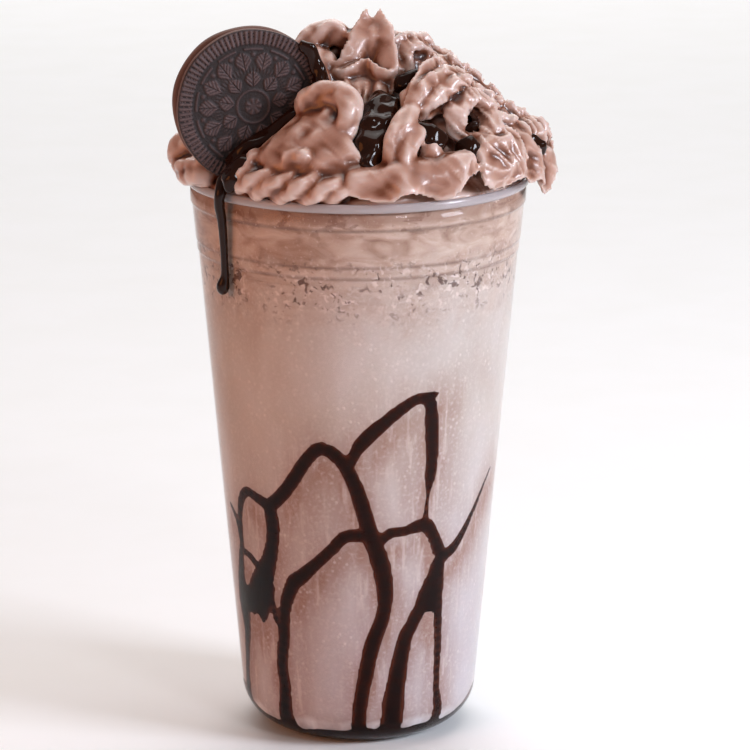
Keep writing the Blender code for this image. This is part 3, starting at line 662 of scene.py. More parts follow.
strands = [strand_grid(strand, turn) for strand, turn in unrolled_strands(FINE_STEP)]
drizzle = fused(closed_grids("syrup_drizzle", pool_grid(), *strands), DRIZZLE_VOXEL, 4)
press_on_wall(drizzle, PRESS_REACH, WALL - SYRUP_WETTING)
keep_attribute(drizzle, "thin", thinness(points_of(drizzle)))
wear(drizzle, dark_syrup("chocolate_syrup_on_wall", "#30120B", "#120403", 0.0), "syrup_inside")


# Foam layer
# The airy top of the shake, browner because cocoa and cream float up in it. It fills the collar up to the
# lip, with small voids and burst bubbles against the wall, and it thins out unevenly into the shake below.
FOAM_TOP = 161.2
FOAM_ROWS = 44
FOAM_SIDES = 330


def airy_foam():
    """Foam of milk and cocoa: matt, in the same cloudy blend as the top of the shake, with pitted voids."""
    material, place = new_material("cocoa_foam_aerated")
    # The foam's colour carries the painted shade of the voids and of the steps' lines.
    colour, hole = milk_colour(material, place)
    fine = grain(material, place, 0.8, detail=3.0)
    colour = mixed(material, colour, "#D8C4BB", between(material, fine, 0.62, 0.74, 0.5))
    pits = raised(material, hole, -0.2)
    return surface(material, {"Base Color": colour, "Roughness": 0.5, "Normal": pits, **MILK_GLOW})


foam = closed_grids("foam_band", filling_grid(SHAKE_TOP, FOAM_TOP, FOAM_ROWS, FOAM_SIDES))
wear(foam, airy_foam(), "foam_layer")


# Cream
# Chocolate whipped cream, piped through a star nozzle over a low mound in ropes, folds and thin petals. A
# rope is its lobes, twist, groove, ruffle and route of places and radii. A petal is its thickness, waves,
# depth, bow, root and edge.
CREAM_VOXEL = 0.7
MOUND_SIDES = 90
ROPE_STEP = 0.8
ROPES = {
    "peak": (4, 3, 0.3, 0.03, [(1, -7, 184, 8.5), (1, -6.5, 193, 8.5), (2, -6, 200, 7), (4, -5.5, 208, 3.6)]),
    "peak_side": (5, 3, 0.36, 0.05, [(11, -9, 188, 6), (12, -6, 196, 5), (10, -3, 202, 3.4)]),
    "swirl_body": (4, 3, 0.3, 0.06, [(-10, -17, 187, 6.5), (-11, -12, 195, 6.5), (-9, -9, 200, 5)]),
    "swirl": (4, 5, 0.3, 0.05, [(-15, -13, 192, 4), (-16, -10, 198, 4.2), (-12, -8, 202.5, 4.2),
        (-7, -7, 204.5, 4), (-4, -10, 202, 3)]),
    "pleats": (6, 3, 0.42, 0.05, [(7, -7, 196, 5.5), (13, -3, 199.5, 5), (19, 0, 197, 5)]),
    "hook": (3, 2, 0.2, 0.0, [(-16, -25, 184.5, 4), (-11.5, -27.5, 189, 4.4), (-5.6, -29.5, 190, 4.4),
        (-2, -33, 187.5, 4.1), (-3.2, -36, 182.5, 3.6), (-6, -38.5, 177.5, 3)]),
    "rim_left": (3, 17, 0.4, 0.06, [(-35, -35, 168, 4), (-28, -40, 167.6, 4.6), (-20, -43.6, 167.2, 4.8),
        (-10, -46, 167, 4.7), (-1, -46.8, 167, 4)]),
    "stalk_a": (3, 2, 0.28, 0.0, [(15.5, -28, 186, 3.2), (12.5, -35, 183, 3.6), (10, -40, 178, 3.6),
        (9, -42, 171, 3.2)]),
    "stalk_b": (3, 2, 0.28, 0.0, [(18, -32, 182, 2.6), (14.5, -39, 179, 3), (13, -42, 174, 3),
        (15, -43, 169, 2.6)]),
    "ball": (3, 0, 0.06, 0.0, [(18, -36, 177, 3.4), (21, -37, 175.5, 3.8), (23, -36, 174.5, 3)]),
    "block": (5, 3, 0.32, 0.08, [(14, -27, 183, 5), (18, -25, 188.5, 6), (23, -20, 190.5, 6),
        (28, -14, 190, 5.4), (31, -11, 187, 4.6)]),
    "ring": (3, 3, 0.2, 0.05, [(28, -28, 177, 3.2), (27, -25, 184, 3.2), (31, -18, 187, 3.4),
        (35.5, -18, 184, 3.2), (37, -22, 179.5, 3.0), (34, -27, 176, 2.6)]),
    "ridge": (5, 4, 0.42, 0.2, [(8, 3, 197, 7), (19, 3, 194, 7), (29, 3, 186, 6.5), (39, 2, 177, 6),
        (49, 1, 172, 5)]),
    "ridge_front": (5, 5, 0.42, 0.2, [(22, -6, 192, 5), (32, -6, 187, 5.4), (42, -5, 179, 5),
        (51, -4, 173, 4)]),
    "ridge_low": (5, 6, 0.42, 0.2, [(33, -13, 184, 4.4), (41, -11, 178, 4.4), (48, -10, 173, 3.6)]),
    "low_edge": (3, 3, 0.16, 0.0, [(-33, -37, 167.5, 2.6), (-30, -36, 172, 3), (-26, -34, 175.5, 2.6)]),
    "sheet_bud": (3, 9, 0.3, 0.0, [(-17, -41, 174, 2.6), (-15, -43, 175.5, 3), (-12.6, -43.5, 174.4, 2.6)]),
    "left_edge": (4, 3, 0.14, 0.0, [(-38, -6, 172, 6), (-46, -7, 171.5, 6), (-53.6, -7, 168, 4.4)]),
    "left_low": (4, 5, 0.3, 0.0, [(-50, -8, 166.5, 3.4), (-46, -18, 166.5, 4.6), (-41, -25, 167.5, 4.6)]),
}
PETALS = {
    "left_sheet": (6.5, 0, 0, 2.5, [(-30, -31, 171), (-23, -29, 178), (-17, -26, 183), (-10, -24, 188)], [
        (-19, -44.5, 168), (-10, -46.5, 171), (-3, -46, 172), (2.5, -43.5, 174)]),
    "hook_side": (5, 0, 0, 0.6, [(-16, -26, 182), (-10, -28, 187), (-4, -30, 188)], [(-12, -36, 176.5),
        (-7, -38, 178), (-1, -38.5, 178)]),
    "wavy_sheet": (4.5, 2.4, 1.8, 2.0, [(-4, -42, 171), (5, -41, 172.5), (13, -39, 173.5), (21, -36, 174.5),
        (30, -31, 175)], [(-3, -49.5, 165.5), (5, -50.5, 165.2), (13, -49.8, 164.6), (19, -47.2, 166),
        (25, -45, 163.8), (30, -41, 167), (33.5, -37, 171.5)]),
    "fold_edge": (3.6, 1, 0.8, 1.5, [(22, -6, 192), (21, -11, 190), (18, -18, 187), (16, -25, 183)], [
        (21, -12, 199.5), (17.5, -20, 197), (14, -26, 193), (12, -31, 188)]),
    "peak_left": (3.6, 1, 0.5, 1.2, [(2, -10, 187), (2, -9, 195), (3, -6, 203)], [(-8, -19, 187.5),
        (-6.5, -16.5, 196), (-3.2, -11, 204.5), (2.6, -6, 212)]),
    "peak_right": (3.8, 1, 0.5, 1.2, [(3, -10, 187), (4, -9, 195), (4.5, -6, 203)], [(10.5, -18.5, 188.5),
        (11.8, -15, 197), (10.6, -9, 205), (6, -4.5, 211.8)]),
    "peak_shelf": (2.4, 1.5, 1.0, 0.8, [(-7, -14, 189), (1, -12, 190), (10, -14, 189)], [(-7, -17.5, 195),
        (1, -16, 198.5), (10, -17, 196)]),
    "peak_frill": (2.6, 5, 1.3, 0.8, [(-6, -16, 192), (1, -14, 192), (8, -15, 192)], [(-8.5, -21, 186.5),
        (0, -23, 185.5), (9, -21, 186.5)]),
    "fan": (6.0, 4, 1.5, 4.5, [(28, -25, 177), (34, -16, 178), (37, -6, 179), (37, 5, 177)], [
        (34, -38, 165.8), (42, -32, 165.2), (48, -24, 165), (52.5, -15, 161.5), (54, -8, 158.8),
        (56.2, -1, 164), (55.5, 7, 170)]),
    "fan_upper": (4.0, 4.5, 1.4, 3.0, [(36, -14, 178), (41, -7, 178), (44, 1, 176)], [(44, -20, 170),
        (52, -10, 171.5), (56, -1, 173)]),
    "back_ruffle": (3.6, 9.5, 1.0, 1.0, [(10, -8, 190), (22, -8, 187), (34, -8, 180), (46, -6, 172)], [
        (13, 0, 202.5), (22, 0, 198), (31, 0, 190.5), (40, 0, 182), (49, 0, 177.5)]),
}
CURL = ((-16.8, -43.5, 173.2), 3.2, 2.2)
RIM_ROPES = ((66, 178, 44.6, 169.0, 5.8), (182, 298, 44.6, 168.6, 5.4))
BACK_FOLDS = 7
BACK_FOLD_FALL = ((3, 200, 4.5), (13, 195, 5.6), (25, 187, 6.2), (36, 178, 6.2), (42, 172, 5.2))
GROOVE_BLURS = 9
HOLLOW_BLURS = 38


def unit(vectors):
    """Vectors of length 1."""
    return vectors / np.linalg.norm(vectors, axis=-1, keepdims=True)


def rope_grid(route, lobes, twist, groove, ruffle, phase=0.0):
    """A rope of star section along a smooth route. Across, the radius is a rounded lobe between sharp
    grooves, by the size of a cosine. Along it, the star turns by the twist, the lobes swell in ruffles,
    and both ends close in a half round."""
    points = smooth_route(route, ROPE_STEP)
    middle, radius = points[:, :3], points[:, 3]
    tangent = unit(np.gradient(middle, axis=0))
    least = np.eye(3)[np.abs(tangent).mean(axis=0).argmin()]
    side = unit(np.cross(tangent, least))
    other = np.cross(tangent, side)
    length = np.arange(len(middle)) * ROPE_STEP
    angle = whole_turn(14 * lobes)
    turned_by = angle + np.radians(twist * length + 40 * phase)[:, None]
    star = 1 - groove * (1 - np.abs(np.cos(lobes * turned_by / 2)) ** 0.8)
    uneven_steps = length + 1.6 * np.sin(0.31 * length + phase)
    waves = np.sin(2 * np.pi * uneven_steps[:, None] / 4.6 + phase + 1.2 * np.cos(angle))
    near_end = np.minimum(length, length[::-1])[:, None]
    closing = quarter_round(near_end / radius[:, None], 0.03)
    reach = radius[:, None] * star * (1 + ruffle * waves * (star - 0.3)) * closing
    return (
        middle[:, None]
        + (reach * np.cos(angle))[..., None] * side[:, None]
        + (reach * np.sin(angle))[..., None] * other[:, None]
    )


def petal_grid(root, edge, thickness, waves, depth, bow, phase=0.0, rows=90):
    """A sheet between a root line and a free edge. It bows out between them by a half sine, waves that
    grow towards the edge ruffle it, and it thins to a round edge and to both ends."""
    along = np.linspace(0, 1, rows)
    lines = []
    for route in (root, edge):
        line = smooth_route(route, 0.3)
        places = np.linspace(0, 1, len(line))
        lines.append(np.column_stack([np.interp(along, places, column) for column in line.T]))
    first, last = lines
    out = last - first
    facing = unit(np.cross(np.gradient(0.5 * (first + last), axis=0), out))
    facing *= np.sign(facing[:, 2].sum() - facing[:, 1].sum())
    turn = whole_turn(44)
    reach = 0.5 - 0.5 * np.cos(turn)
    ends = quarter_round(np.minimum(along, 1 - along) * 9, 0.03)[:, None]
    half = 0.5 * thickness * (1.25 - 0.75 * reach) * np.sin(turn) * ends
    uneven_steps = along + 0.035 * np.sin(11 * along + phase)
    wave = depth * reach**1.2 * np.sin(2 * np.pi * waves * uneven_steps[:, None] + phase) * ends
    lift = bow * np.sin(np.pi * reach) + wave + half
    return first[:, None] + reach[:, None] * out[:, None] + lift[..., None] * facing[:, None]


def mound_profile():
    """The low mound under the folds, from its flat foot in the cup's mouth to its top."""
    foot = [(0.5, 160.2), (47.2, 160.2), (47.2, 163.4)]
    return np.array(foot + [(44, 166.5), (36, 174.5), (24, 184), (12, 194), (0.5, 196)])


def rim_ropes():
    """Ropes that lie round the far rim, thinner and thicker by turns."""
    for number, (start, end, out, height, radius) in enumerate(RIM_ROPES):
        route = []
        for azimuth in np.linspace(start, end, 10):
            angle = math.radians(azimuth)
            swell = radius * (1 + 0.09 * math.sin(3.1 * angle + start))
            lift = 0.8 * math.sin(5 * angle)
            route.append(round_axis(out, angle, height + lift, swell))
        yield rope_grid(route, lobes=5, twist=9, groove=0.36, ruffle=0.16, phase=number)


def back_folds():
    """Folds that run down the far side from the top to the rim, uneven in place and size."""
    for i in range(BACK_FOLDS):
        angle = math.radians(84 + i * 196 / (BACK_FOLDS - 1) + 6 * math.sin(2.3 * i))
        lean = math.radians(14 + 8 * math.sin(1.7 * i))
        route = []
        for out, height, radius in BACK_FOLD_FALL:
            turn = angle + lean * out / 43
            route.append(round_axis(out, turn, height + math.sin(4.1 * i), radius))
        yield rope_grid(route, lobes=5, twist=5, groove=0.38, ruffle=0.12, phase=i)


def curl():
    """A small curl at the front left, coiling towards its middle."""
    (x, y, z), ring, radius = CURL
    route = []
    for i in range(10):
        angle = math.radians(-75 + 42 * i)
        reach = ring * (1 - 0.05 * i)
        route.append((x + reach * math.cos(angle), y + 0.25 * i, z + reach * math.sin(angle), radius))
    return rope_grid(route, lobes=4, twist=3, groove=0.2, ruffle=0.0)


def uneven(points, size, amount, seed):
    """Moves points by a few crossed sine waves of about the given size, so that nothing is quite regular."""
    draw = np.random.default_rng(seed)
    moved = points.copy()
    for _ in range(5):
        wave = draw.normal(size=3) * 2 * np.pi / size
        push = draw.normal(size=3)
        moved += amount / 5**0.5 * np.sin(points @ wave + draw.uniform(0, 6.3))[:, None] * push
    return moved


def crumpled(points, facing):
    """Raises small crumpled folds along the normals. Bent, crossed sine waves give a sharp crest wherever
    one passes zero. The folds grow towards the right and far side, where the cream is most worked."""
    x, y, z = points.T
    bend = 1.3 * np.sin(0.33 * x + 0.5 * z) + 1.1 * np.sin(0.41 * y - 0.27 * z + 1)
    first = 1 - np.abs(np.sin(0.55 * x + 0.3 * y + 0.3 * z + bend))
    second = 1 - np.abs(np.sin(0.2 * x - 0.5 * y + 0.55 * z - bend))
    crest = np.maximum(first**2, 0.8 * second**2)
    worked = np.clip((x + 0.5 * y - 4) / 14, 0, 1) * np.clip((z - 166) / 8, 0.25, 1)
    return points + ((0.12 + 1.1 * worked) * (crest - 0.35))[:, None] * facing


def clear_of_lip(points):
    """Points inside the lip's ellipse are moved out to its edge, those under it outside the wall are kept
    off the wall, and those inside the mouth reach just into the wall."""
    out = np.hypot(points[:, 0], points[:, 1])
    middle, level = LIP_CENTRE
    x = (out - middle) / (LIP_WIDTH / 2 + 0.12)
    y = (points[:, 2] - level) / (LIP_DEPTH / 2 + 0.12)
    inside = (x * x + y * y < 1) & (x > -0.75)
    grow = 1 / np.maximum(np.hypot(x, y), 0.1)
    new_out = np.where(inside, middle + (out - middle) * grow, out)
    points[:, 2] = np.where(inside, level + (points[:, 2] - level) * grow, points[:, 2])
    low = points[:, 2] < level
    wall = inside_radius(points[:, 2], WALL)
    outer = low & (new_out > wall + 0.5)
    new_out = np.where(outer, np.maximum(new_out, wall + WALL + 0.15), new_out)
    new_out = np.where(low & ~outer, np.minimum(new_out, wall + WETTING), new_out)
    points[:, :2] *= (new_out / np.maximum(out, 1e-6))[:, None]
    return points


def neighbours(piece):
    """The two ends of every edge of the mesh."""
    flat = np.empty(len(piece.data.edges) * 2, np.int32)
    piece.data.edges.foreach_get("vertices", flat)
    return flat.reshape(-1, 2)


def blurred(values, edges, rounds):
    """Each point takes the mean of itself and of its neighbours, over again."""
    count = 1 + np.bincount(edges.ravel(), minlength=len(values))
    for _ in range(rounds):
        total = values.copy()
        for column in range(values.shape[1]):
            total[:, column] += np.bincount(edges[:, 0], values[edges[:, 1], column], len(values))
            total[:, column] += np.bincount(edges[:, 1], values[edges[:, 0], column], len(values))
        values = total / count[:, None]
    return values


def normals_of(piece):
    """The direction that the skin faces at each point of the mesh."""
    return vectors_of(piece, "normal")


def hollows(piece, rounds):
    """How deep each point lies under the evened skin round it, in millimetres: positive in a groove."""
    points = points_of(piece)
    return np.einsum("ij,ij->i", blurred(points, neighbours(piece), rounds) - points, normals_of(piece))


def whipped_cream():
    """Whipped chocolate cream: satin, soft and a little translucent. Its colour holds painted shade and light
    by depth: the grooves and hollows darken to a warm orange brown, and the thin ridges are pale and pinkish."""
    material, place = new_material("chocolate_cream_whipped")
    # The groove and hollow depths paint shade into the colour: dark in the folds, pale on the ridges.
    fine = stored(material, "groove")
    hollow_shade = stored(material, "hollow")
    clouds = grain(material, place, 12.0, detail=3.0)
    both = maths(material, "MULTIPLY_ADD", hollow_shade, 0.5, fine)
    depth = between(material, maths(material, "MULTIPLY_ADD", clouds, 0.25, both), -0.6, 0.95)
    stops = [(0.0, "#D2B5AA"), (0.25, "#B98F7E"), (0.45, "#A07260"), (0.62, "#794731"), (1.0, "#3B180C")]
    drag = grain(material, place, 1.2, detail=3.0)
    inputs = {
        "Base Color": blend_of(material, stops, depth),
        "Roughness": 0.3,
        "Coat Weight": 0.2,
        "Coat Roughness": 0.15,
        "Subsurface Weight": 0.2,
        "Subsurface Radius": (1.0, 0.5, 0.3),
        "Subsurface Scale": 1.8 * MM,
        "Normal": raised(material, drag, 0.05),
    }
    return surface(material, inputs)


cream_grids = [turned(mound_profile(), MOUND_SIDES), curl(), *rim_ropes(), *back_folds()]
for number, (lobes, twist, groove, ruffle, route) in enumerate(ROPES.values()):
    cream_grids.append(rope_grid(route, lobes, twist, groove, ruffle, number))
for number, (thickness, waves, depth, bow, root, edge) in enumerate(PETALS.values()):
    cream_grids.append(petal_grid(root, edge, thickness, waves, depth, bow, number))
cream = fused(closed_grids("cream_piped", *cream_grids), CREAM_VOXEL, 2)
folded = crumpled(points_of(cream), normals_of(cream))
folded = uneven(folded, size=15.0, amount=0.35, seed=4)
folded = uneven(folded, size=5.0, amount=0.07, seed=9)
put_points(cream, clear_of_lip(folded))
# These depths are read by the cream's material as painted shade in its folds.
keep_attribute(cream, "groove", hollows(cream, GROOVE_BLURS))
keep_attribute(cream, "hollow", hollows(cream, HOLLOW_BLURS))
wear(cream, whipped_cream(), "cream")


# Poured syrup
# Thick syrup poured over the cream. It fills the valleys between the folds in deep glossy pools, and a band
# of it lies along the cookie's face where the cookie stands in the cream.
POURED = {
    "valley": [(8, -19, 188, 3.4), (7, -23, 185.5, 5.4), (5.5, -28, 182.5, 6.4), (4.5, -32.5, 179.5, 6.2),
        (3.5, -37, 176, 5.6), (3, -41, 173.4, 4.2), (5, -44, 172, 2.6)],
    "valley_top": [(10, -18, 190.5, 3), (14, -16, 191.5, 2.8), (19, -13, 192, 2.6), (23, -12, 190, 2.2)],
    "under_block": [(12.5, -31, 181.5, 3), (17, -32.5, 180, 3.8), (21, -34.5, 178.5, 4), (24, -33, 180, 2.6)],
    "under_ring": [(27, -30, 177, 3), (31, -31.5, 175, 3.6), (34.5, -32, 173, 2.6)],
    "ring_hollow": [(31, -21, 181, 3), (32, -24, 178, 3)],
    "right_streak": [(45, -16, 174, 1.8), (49, -13, 173.5, 2.4), (53, -10, 171, 2)],
    "cookie_foot": [(-26, -33, 173, 2.4), (-30, -35.5, 171, 3.8), (-34, -37, 167.8, 4), (-36, -38, 165, 2.8)],
    "cookie_band": [(-15.6, -23.2, 204.4, 1.3), (-12.6, -22.6, 200.3, 1.9), (-10.6, -22.2, 195.4, 2.2),
        (-10.6, -22.2, 190.9, 2.3), (-13.5, -23.2, 186.6, 2.3), (-19.4, -25, 182, 2.4),
        (-26.7, -27.2, 177.2, 2.5), (-32.6, -29, 172.6, 2.8), (-36.4, -30, 168.8, 2.6)],
}
POURED_VOXEL = 0.5

poured_grids = [rope_grid(route, 3, 0, 0.05, 0.0, number) for number, route in enumerate(POURED.values())]
poured = fused(closed_grids("syrup_poured_pools", *poured_grids), POURED_VOXEL, 12)
put_points(poured, clear_of_lip(uneven(points_of(poured), size=9.0, amount=0.45, seed=12)))
keep_attribute(poured, "thin", 0.0)
poured_syrup = dark_syrup("chocolate_syrup_poured", "#3A1A0C", "#240E05", 0.34)
wear(poured, poured_syrup, "cream")


# Cookie
# A sandwich of two baked cocoa wafers round a layer of filling, pushed on edge into the cream. Each wafer
# is pressed in a mould, with a fluted border, a plain groove and a field of small leaves.
COOKIE_RADIUS = 21.5
WAFER_THICKNESS = 3.0
FILLING_THICKNESS = 2.0
FILLING_RADIUS = 20.2
WAFER_START = FILLING_THICKNESS / 2 + 0.1
COOKIE_CENTRE = np.array((-29.8, -22.0, 186.5))
COOKIE_FACING = unit(np.array((0.265, -0.964, -0.03)))
RIDGES = 90
RELIEF_DEPTH = 0.65
FACE_ROWS = 74


def on_cookie(across, upwards, forwards):
    """Points from distances right of the cookie's middle, up from it and forwards the way it faces."""
    right = unit(np.cross((0.0, 0.0, 1.0), COOKIE_FACING))
    up = np.cross(COOKIE_FACING, right)
    flat = COOKIE_CENTRE + across[..., None] * right + upwards[..., None] * up
    return flat + forwards[..., None] * COOKIE_FACING


def bell(distance, width):
    """A soft hump: 1 in its middle, and 0 at a width from it."""
    return np.clip(1 - (distance / width) ** 2, 0, 1) ** 1.5


def ring_of_pads(radius, angle, middle, count, half_long, half_wide, turn=0.0):
    """Raised leaves in a ring: each a lozenge that points outwards, with a rib's groove along its middle
    and slanted veins on both sides of it."""
    pitch = 2 * np.pi / count
    swing = ((angle - turn + pitch / 2) % pitch - pitch / 2) * middle
    lengthwise = (radius - middle) / half_long
    apart = np.abs(swing / half_wide) + lengthwise**2
    leaf = np.clip((1 - apart) * 4, 0, 1)
    rib = bell(swing, 0.28)
    veins = bell((np.abs(swing) - 0.8 * (radius - middle) + 9) % 1.1 - 0.55, 0.24)
    return leaf * (1 - 0.75 * np.maximum(rib, 0.8 * veins))


def wafer_relief(radius, angle):
    """Height of the pressed face in millimetres: ridges out to the edge, a broken ring, two rings of pads
    over a fine radial hatch, and a boss with a ring in the middle."""
    border = np.clip((radius - 17.3) / 0.4, 0, 1)
    ridges = np.abs(np.cos(RIDGES / 2 * angle)) ** 0.7
    height = border * (0.62 * ridges - 0.1)
    height += 0.4 * bell(radius - 16.2, 0.5) * (np.sin(13 * angle) > -0.6)
    height += 0.45 * ring_of_pads(radius, angle, 12.9, 14, 2.9, 2.6)
    swing = ((angle + 2 * np.pi) % (np.pi / 7) - np.pi / 14) * 14.6
    height += 0.4 * bell(np.hypot(radius - 14.6, swing), 0.9)
    height += 0.45 * ring_of_pads(radius, angle, 7.7, 9, 2.4, 2.4, 0.2)
    height += 0.2 * bell(radius - 10.3, 1.3) * (0.5 + 0.5 * np.sin(66 * angle))
    height += 0.35 * bell(radius - 4.6, 0.5)
    boss = 0.7 + 0.3 * np.cos(7 * angle) * (radius > 1)
    return height + 0.4 * np.clip((2.6 - radius) / 0.5, 0, 1) * boss


def wafer_grid(side, sides=540):
    """A wafer as rings of points: out over its inner face, round its edge, and in over its pressed face."""
    inner = [(0.05, 0.0), (10.0, 0.0), (19.0, 0.0)]
    inner_edge = arc((COOKIE_RADIUS - 1, 0.6), (1, 0.6), -90, 0, 5)
    heights = np.linspace(0.9, WAFER_THICKNESS - 0.9, 5)
    edge = np.column_stack([COOKIE_RADIUS + np.array([0.02, 0.08, 0.1, 0.06, 0.0]), heights])
    outer_edge = arc((COOKIE_RADIUS - 0.3, WAFER_THICKNESS - 0.75), (0.3, 0.3), 15, 80, 4)
    face = [(out, WAFER_THICKNESS - RELIEF_DEPTH) for out in np.linspace(20.95, 0.1, FACE_ROWS)]
    profile = np.vstack([inner, inner_edge, edge, outer_edge, face])
    radius, height = profile[:, :1], profile[:, 1:]
    angle = whole_turn(sides)
    pressed = np.arange(len(radius))[:, None] > len(radius) - FACE_ROWS - 1
    lift = np.where(pressed, wafer_relief(radius, angle), 0)
    wander = 0.12 * np.sin(3 * angle + 1 + side) + 0.08 * np.sin(8 * angle)
    radius = radius + wander * np.clip(radius / COOKIE_RADIUS, 0, 1) ** 6
    across = side * radius * np.cos(angle)
    return on_cookie(across, radius * np.sin(angle), side * (WAFER_START + height + lift))


def baked_cocoa():
    """A dark cocoa wafer, baked dry: matt and grainy at about half a millimetre. Its colour holds painted
    shade
    and light: near black in its recesses, paler brown on what stands out, and as pale on its edge, as if lit
    from behind."""
    material, place = new_material("cocoa_wafer_baked")
    height = stored(material, "relief")
    crumbs = grain(material, place, 0.55, detail=3.0)
    patches = grain(material, place, 6.0, detail=3.0)
    grained = maths(material, "MULTIPLY_ADD", crumbs, 0.55, height)
    level = between(material, maths(material, "MULTIPLY_ADD", patches, 0.35, grained), 0.2, 1.9)
    # Painted shade and light: the stops run from black in the recesses to pale brown on raised parts.
    stops = [(0.0, "#140B0A"), (0.26, "#2E201F"), (0.5, "#4D3A3A"), (0.7, "#655150"), (1.0, "#6C493D")]
    normal = raised(material, crumbs, 0.22)
    inputs = {"Base Color": blend_of(material, stops, level), "Roughness": 0.68, "Normal": normal}
    return surface(material, inputs)


cocoa = baked_cocoa()
for side, name in ((1, "cookie_front_wafer"), (-1, "cookie_back_wafer")):
    wafer = closed_grids(name + "_baked", wafer_grid(side))
    stands_out = (points_of(wafer) - COOKIE_CENTRE) @ COOKIE_FACING * side
    level = stands_out - (WAFER_START + WAFER_THICKNESS - RELIEF_DEPTH)
    # The relief number drives painted shade; the unpressed edge is set high, so it is painted pale as if lit
    # from behind.
    keep_attribute(wafer, "relief", np.where(level > -0.1, level / RELIEF_DEPTH, 1.5))
    wear(wafer, cocoa, name)


# Cookie filling
# A sweet cream of sugar, fat and cocoa. The wafers press it flat, so its edge bulges a little and is
# uneven.
def filling_disc(sides=180):
    """A disc whose edge is a half round, with a radius that wavers round it."""
    turn = np.radians(np.linspace(-90, 90, 13))
    radius = np.concatenate([[0.05, 12.0], FILLING_RADIUS - 0.9 + 0.9 * np.cos(turn), [12.0, 0.05]])[:, None]
    height = np.concatenate([[-1.0] * 2, np.sin(turn), [1.0] * 2])[:, None] * (FILLING_THICKNESS / 2 + 0.08)
    angle = whole_turn(sides)
    wander = 0.25 * np.sin(5 * angle) + 0.15 * np.sin(11 * angle + 1) + 0.08 * np.sin(29 * angle)
    radius = radius + wander * (radius / FILLING_RADIUS) ** 4
    return on_cookie(radius * np.cos(angle), radius * np.sin(angle), height + 0 * angle)


def cocoa_filling():
    """Sugar and fat with cocoa: matt, mid brown, and finely grained by its sugar."""
    material, place = new_material("cocoa_cream_filling")
    sugar = grain(material, place, 0.5, detail=2.0)
    colour = blend_of(material, [(0.3, "#4A342C"), (0.7, "#66493E")], sugar)
    inputs = {"Base Color": colour, "Roughness": 0.6, "Normal": raised(material, sugar, 0.1)}
    return surface(material, inputs)


filling = closed_grids("cookie_filling_pressed", filling_disc())
wear(filling, cocoa_filling(), "cookie_filling")


# Syrup drip
# Syrup that ran off the cookie's foot, over the lip and down the outside of the cup. It thins as it falls
# and ends in a hanging drop.
DRIP_START = [(-29.0, -32.0, 172.5, 2.4), (-33.0, -33.0, 169.0, 3.2), (-36.3, -32.0, 166.8, 2.6)]
DRIP_AZIMUTH = -47.5
DRIP_TURN = -7
DRIP_FALL = ((51.4, 163.6, 1.6), (51.1, 160.2, 1.5), (49.7, 155.5, 1.3), (48.6, 149.5, 1.15),
    (47.8, 143.8, 1.05), (47.2, 139.2, 1.2), (47.4, 135.9, 1.85), (46.9, 133.5, 1.0))


def drip_route():
    """The drip's points: from the cookie's foot, then down the wall with a slight turn round the cup."""
    route = list(DRIP_START)
    for i, (out, height, radius) in enumerate(DRIP_FALL):
        angle = math.radians(DRIP_AZIMUTH + DRIP_TURN * i / len(DRIP_FALL))
        route.append(round_axis(out, angle, height, radius))
    return route


drip_rope = rope_grid(drip_route(), lobes=2, twist=0, groove=0.0, ruffle=0.0)
drip = closed_grids("syrup_drip_run", drip_rope)
keep_attribute(drip, "thin", 0.0)
wear(drip, poured_syrup, "syrup_drip")


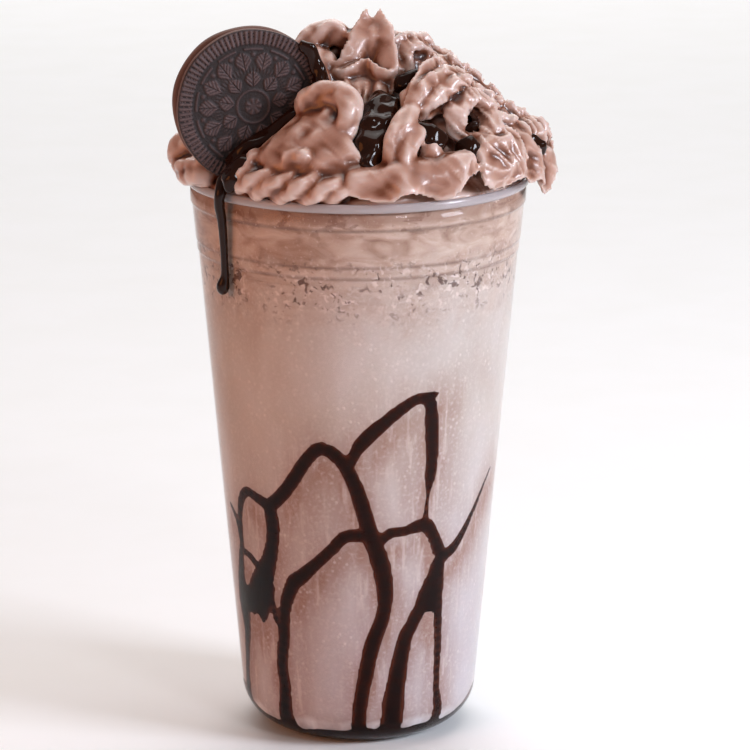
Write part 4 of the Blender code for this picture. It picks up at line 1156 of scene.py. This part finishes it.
# Table and lights
# A plain pale table, a cool soft lamp and a small window glint at the right, a weaker warm lamp at the
# left, a soft one above and a large one for the backdrop. The camera looks a little down on the cup.
CAMERA_PLACE = (4.8, -1000.0, 355.4)
CAMERA_PITCH = 0.247
FOCAL_PIXELS = 3561.0
IMAGE_PIXELS = 750
SENSOR = 36.0
TABLE_REACH = 4000.0
WORLD_STRENGTH = 0.23
LAMPS = {
    "key_right": ((0.95, -0.4, 0.55), 0.32, 9.8, "#EAF1FF"),
    "window_glint": ((0.45, -0.75, 0.75), 0.14, 1.2, "#F2F7FF"),
    "fill_left": ((-0.9, -0.7, 0.45), 0.6, 3.3, "#FF9850"),
    "top": ((0.1, 0.2, 1.1), 0.7, 3.4, "#FFFDFB"),
    "backdrop": ((0.0, 1.9, 1.3), 2.2, 29.0, "#FFFFFF"),
}

corners = [(-1.0, -1.0, 0.0), (1.0, -1.0, 0.0), (1.0, 1.0, 0.0), (-1.0, 1.0, 0.0)]
table = mesh_object("table", TABLE_REACH * np.array(corners), [(0, 1, 2, 3)])
paper, paper_place = new_material("matt_paper_sweep")
paper_colour = blend_of(paper, [(0.3, "#F8F7F6"), (0.7, "#FAF9F9")], grain(paper, paper_place, 40.0))
table.data.materials.append(surface(paper, {"Base Color": paper_colour, "Roughness": 0.8}))

world = bpy.data.worlds.new("studio")
world.use_nodes = True
light = world.node_tree.nodes["Background"].inputs
light["Color"].default_value = linear("#F3F1F0")
light["Strength"].default_value = WORLD_STRENGTH
bpy.context.scene.world = world


def soft_lamp(name, place, size, power, colour):
    """A square lamp that points at the middle of the cup. Its place and size are in metres."""
    data = bpy.data.lights.new(name, "AREA")
    data.size = size
    data.energy = power
    data.color = linear(colour)[:3]
    lamp = bpy.data.objects.new(name, data)
    lamp.location = place
    towards = np.array((0.0, 0.0, 0.11)) - np.array(place)
    pitch = math.atan2(math.hypot(towards[0], towards[1]), -towards[2])
    lamp.rotation_euler = (pitch, 0, math.atan2(-towards[0], towards[1]))
    bpy.context.scene.collection.objects.link(lamp)


for name, settings in LAMPS.items():
    soft_lamp(name, *settings)

camera_data = bpy.data.cameras.new("camera")
camera_data.sensor_width = SENSOR
camera_data.lens = FOCAL_PIXELS * SENSOR / IMAGE_PIXELS
camera_data.clip_end = 20.0
camera = bpy.data.objects.new("camera", camera_data)
camera.location = [value * MM for value in CAMERA_PLACE]
camera.rotation_euler = (math.pi / 2 - CAMERA_PITCH, 0, 0)
bpy.context.scene.collection.objects.link(camera)
bpy.context.scene.camera = camera
bpy.context.scene.view_settings.view_transform = "Standard"
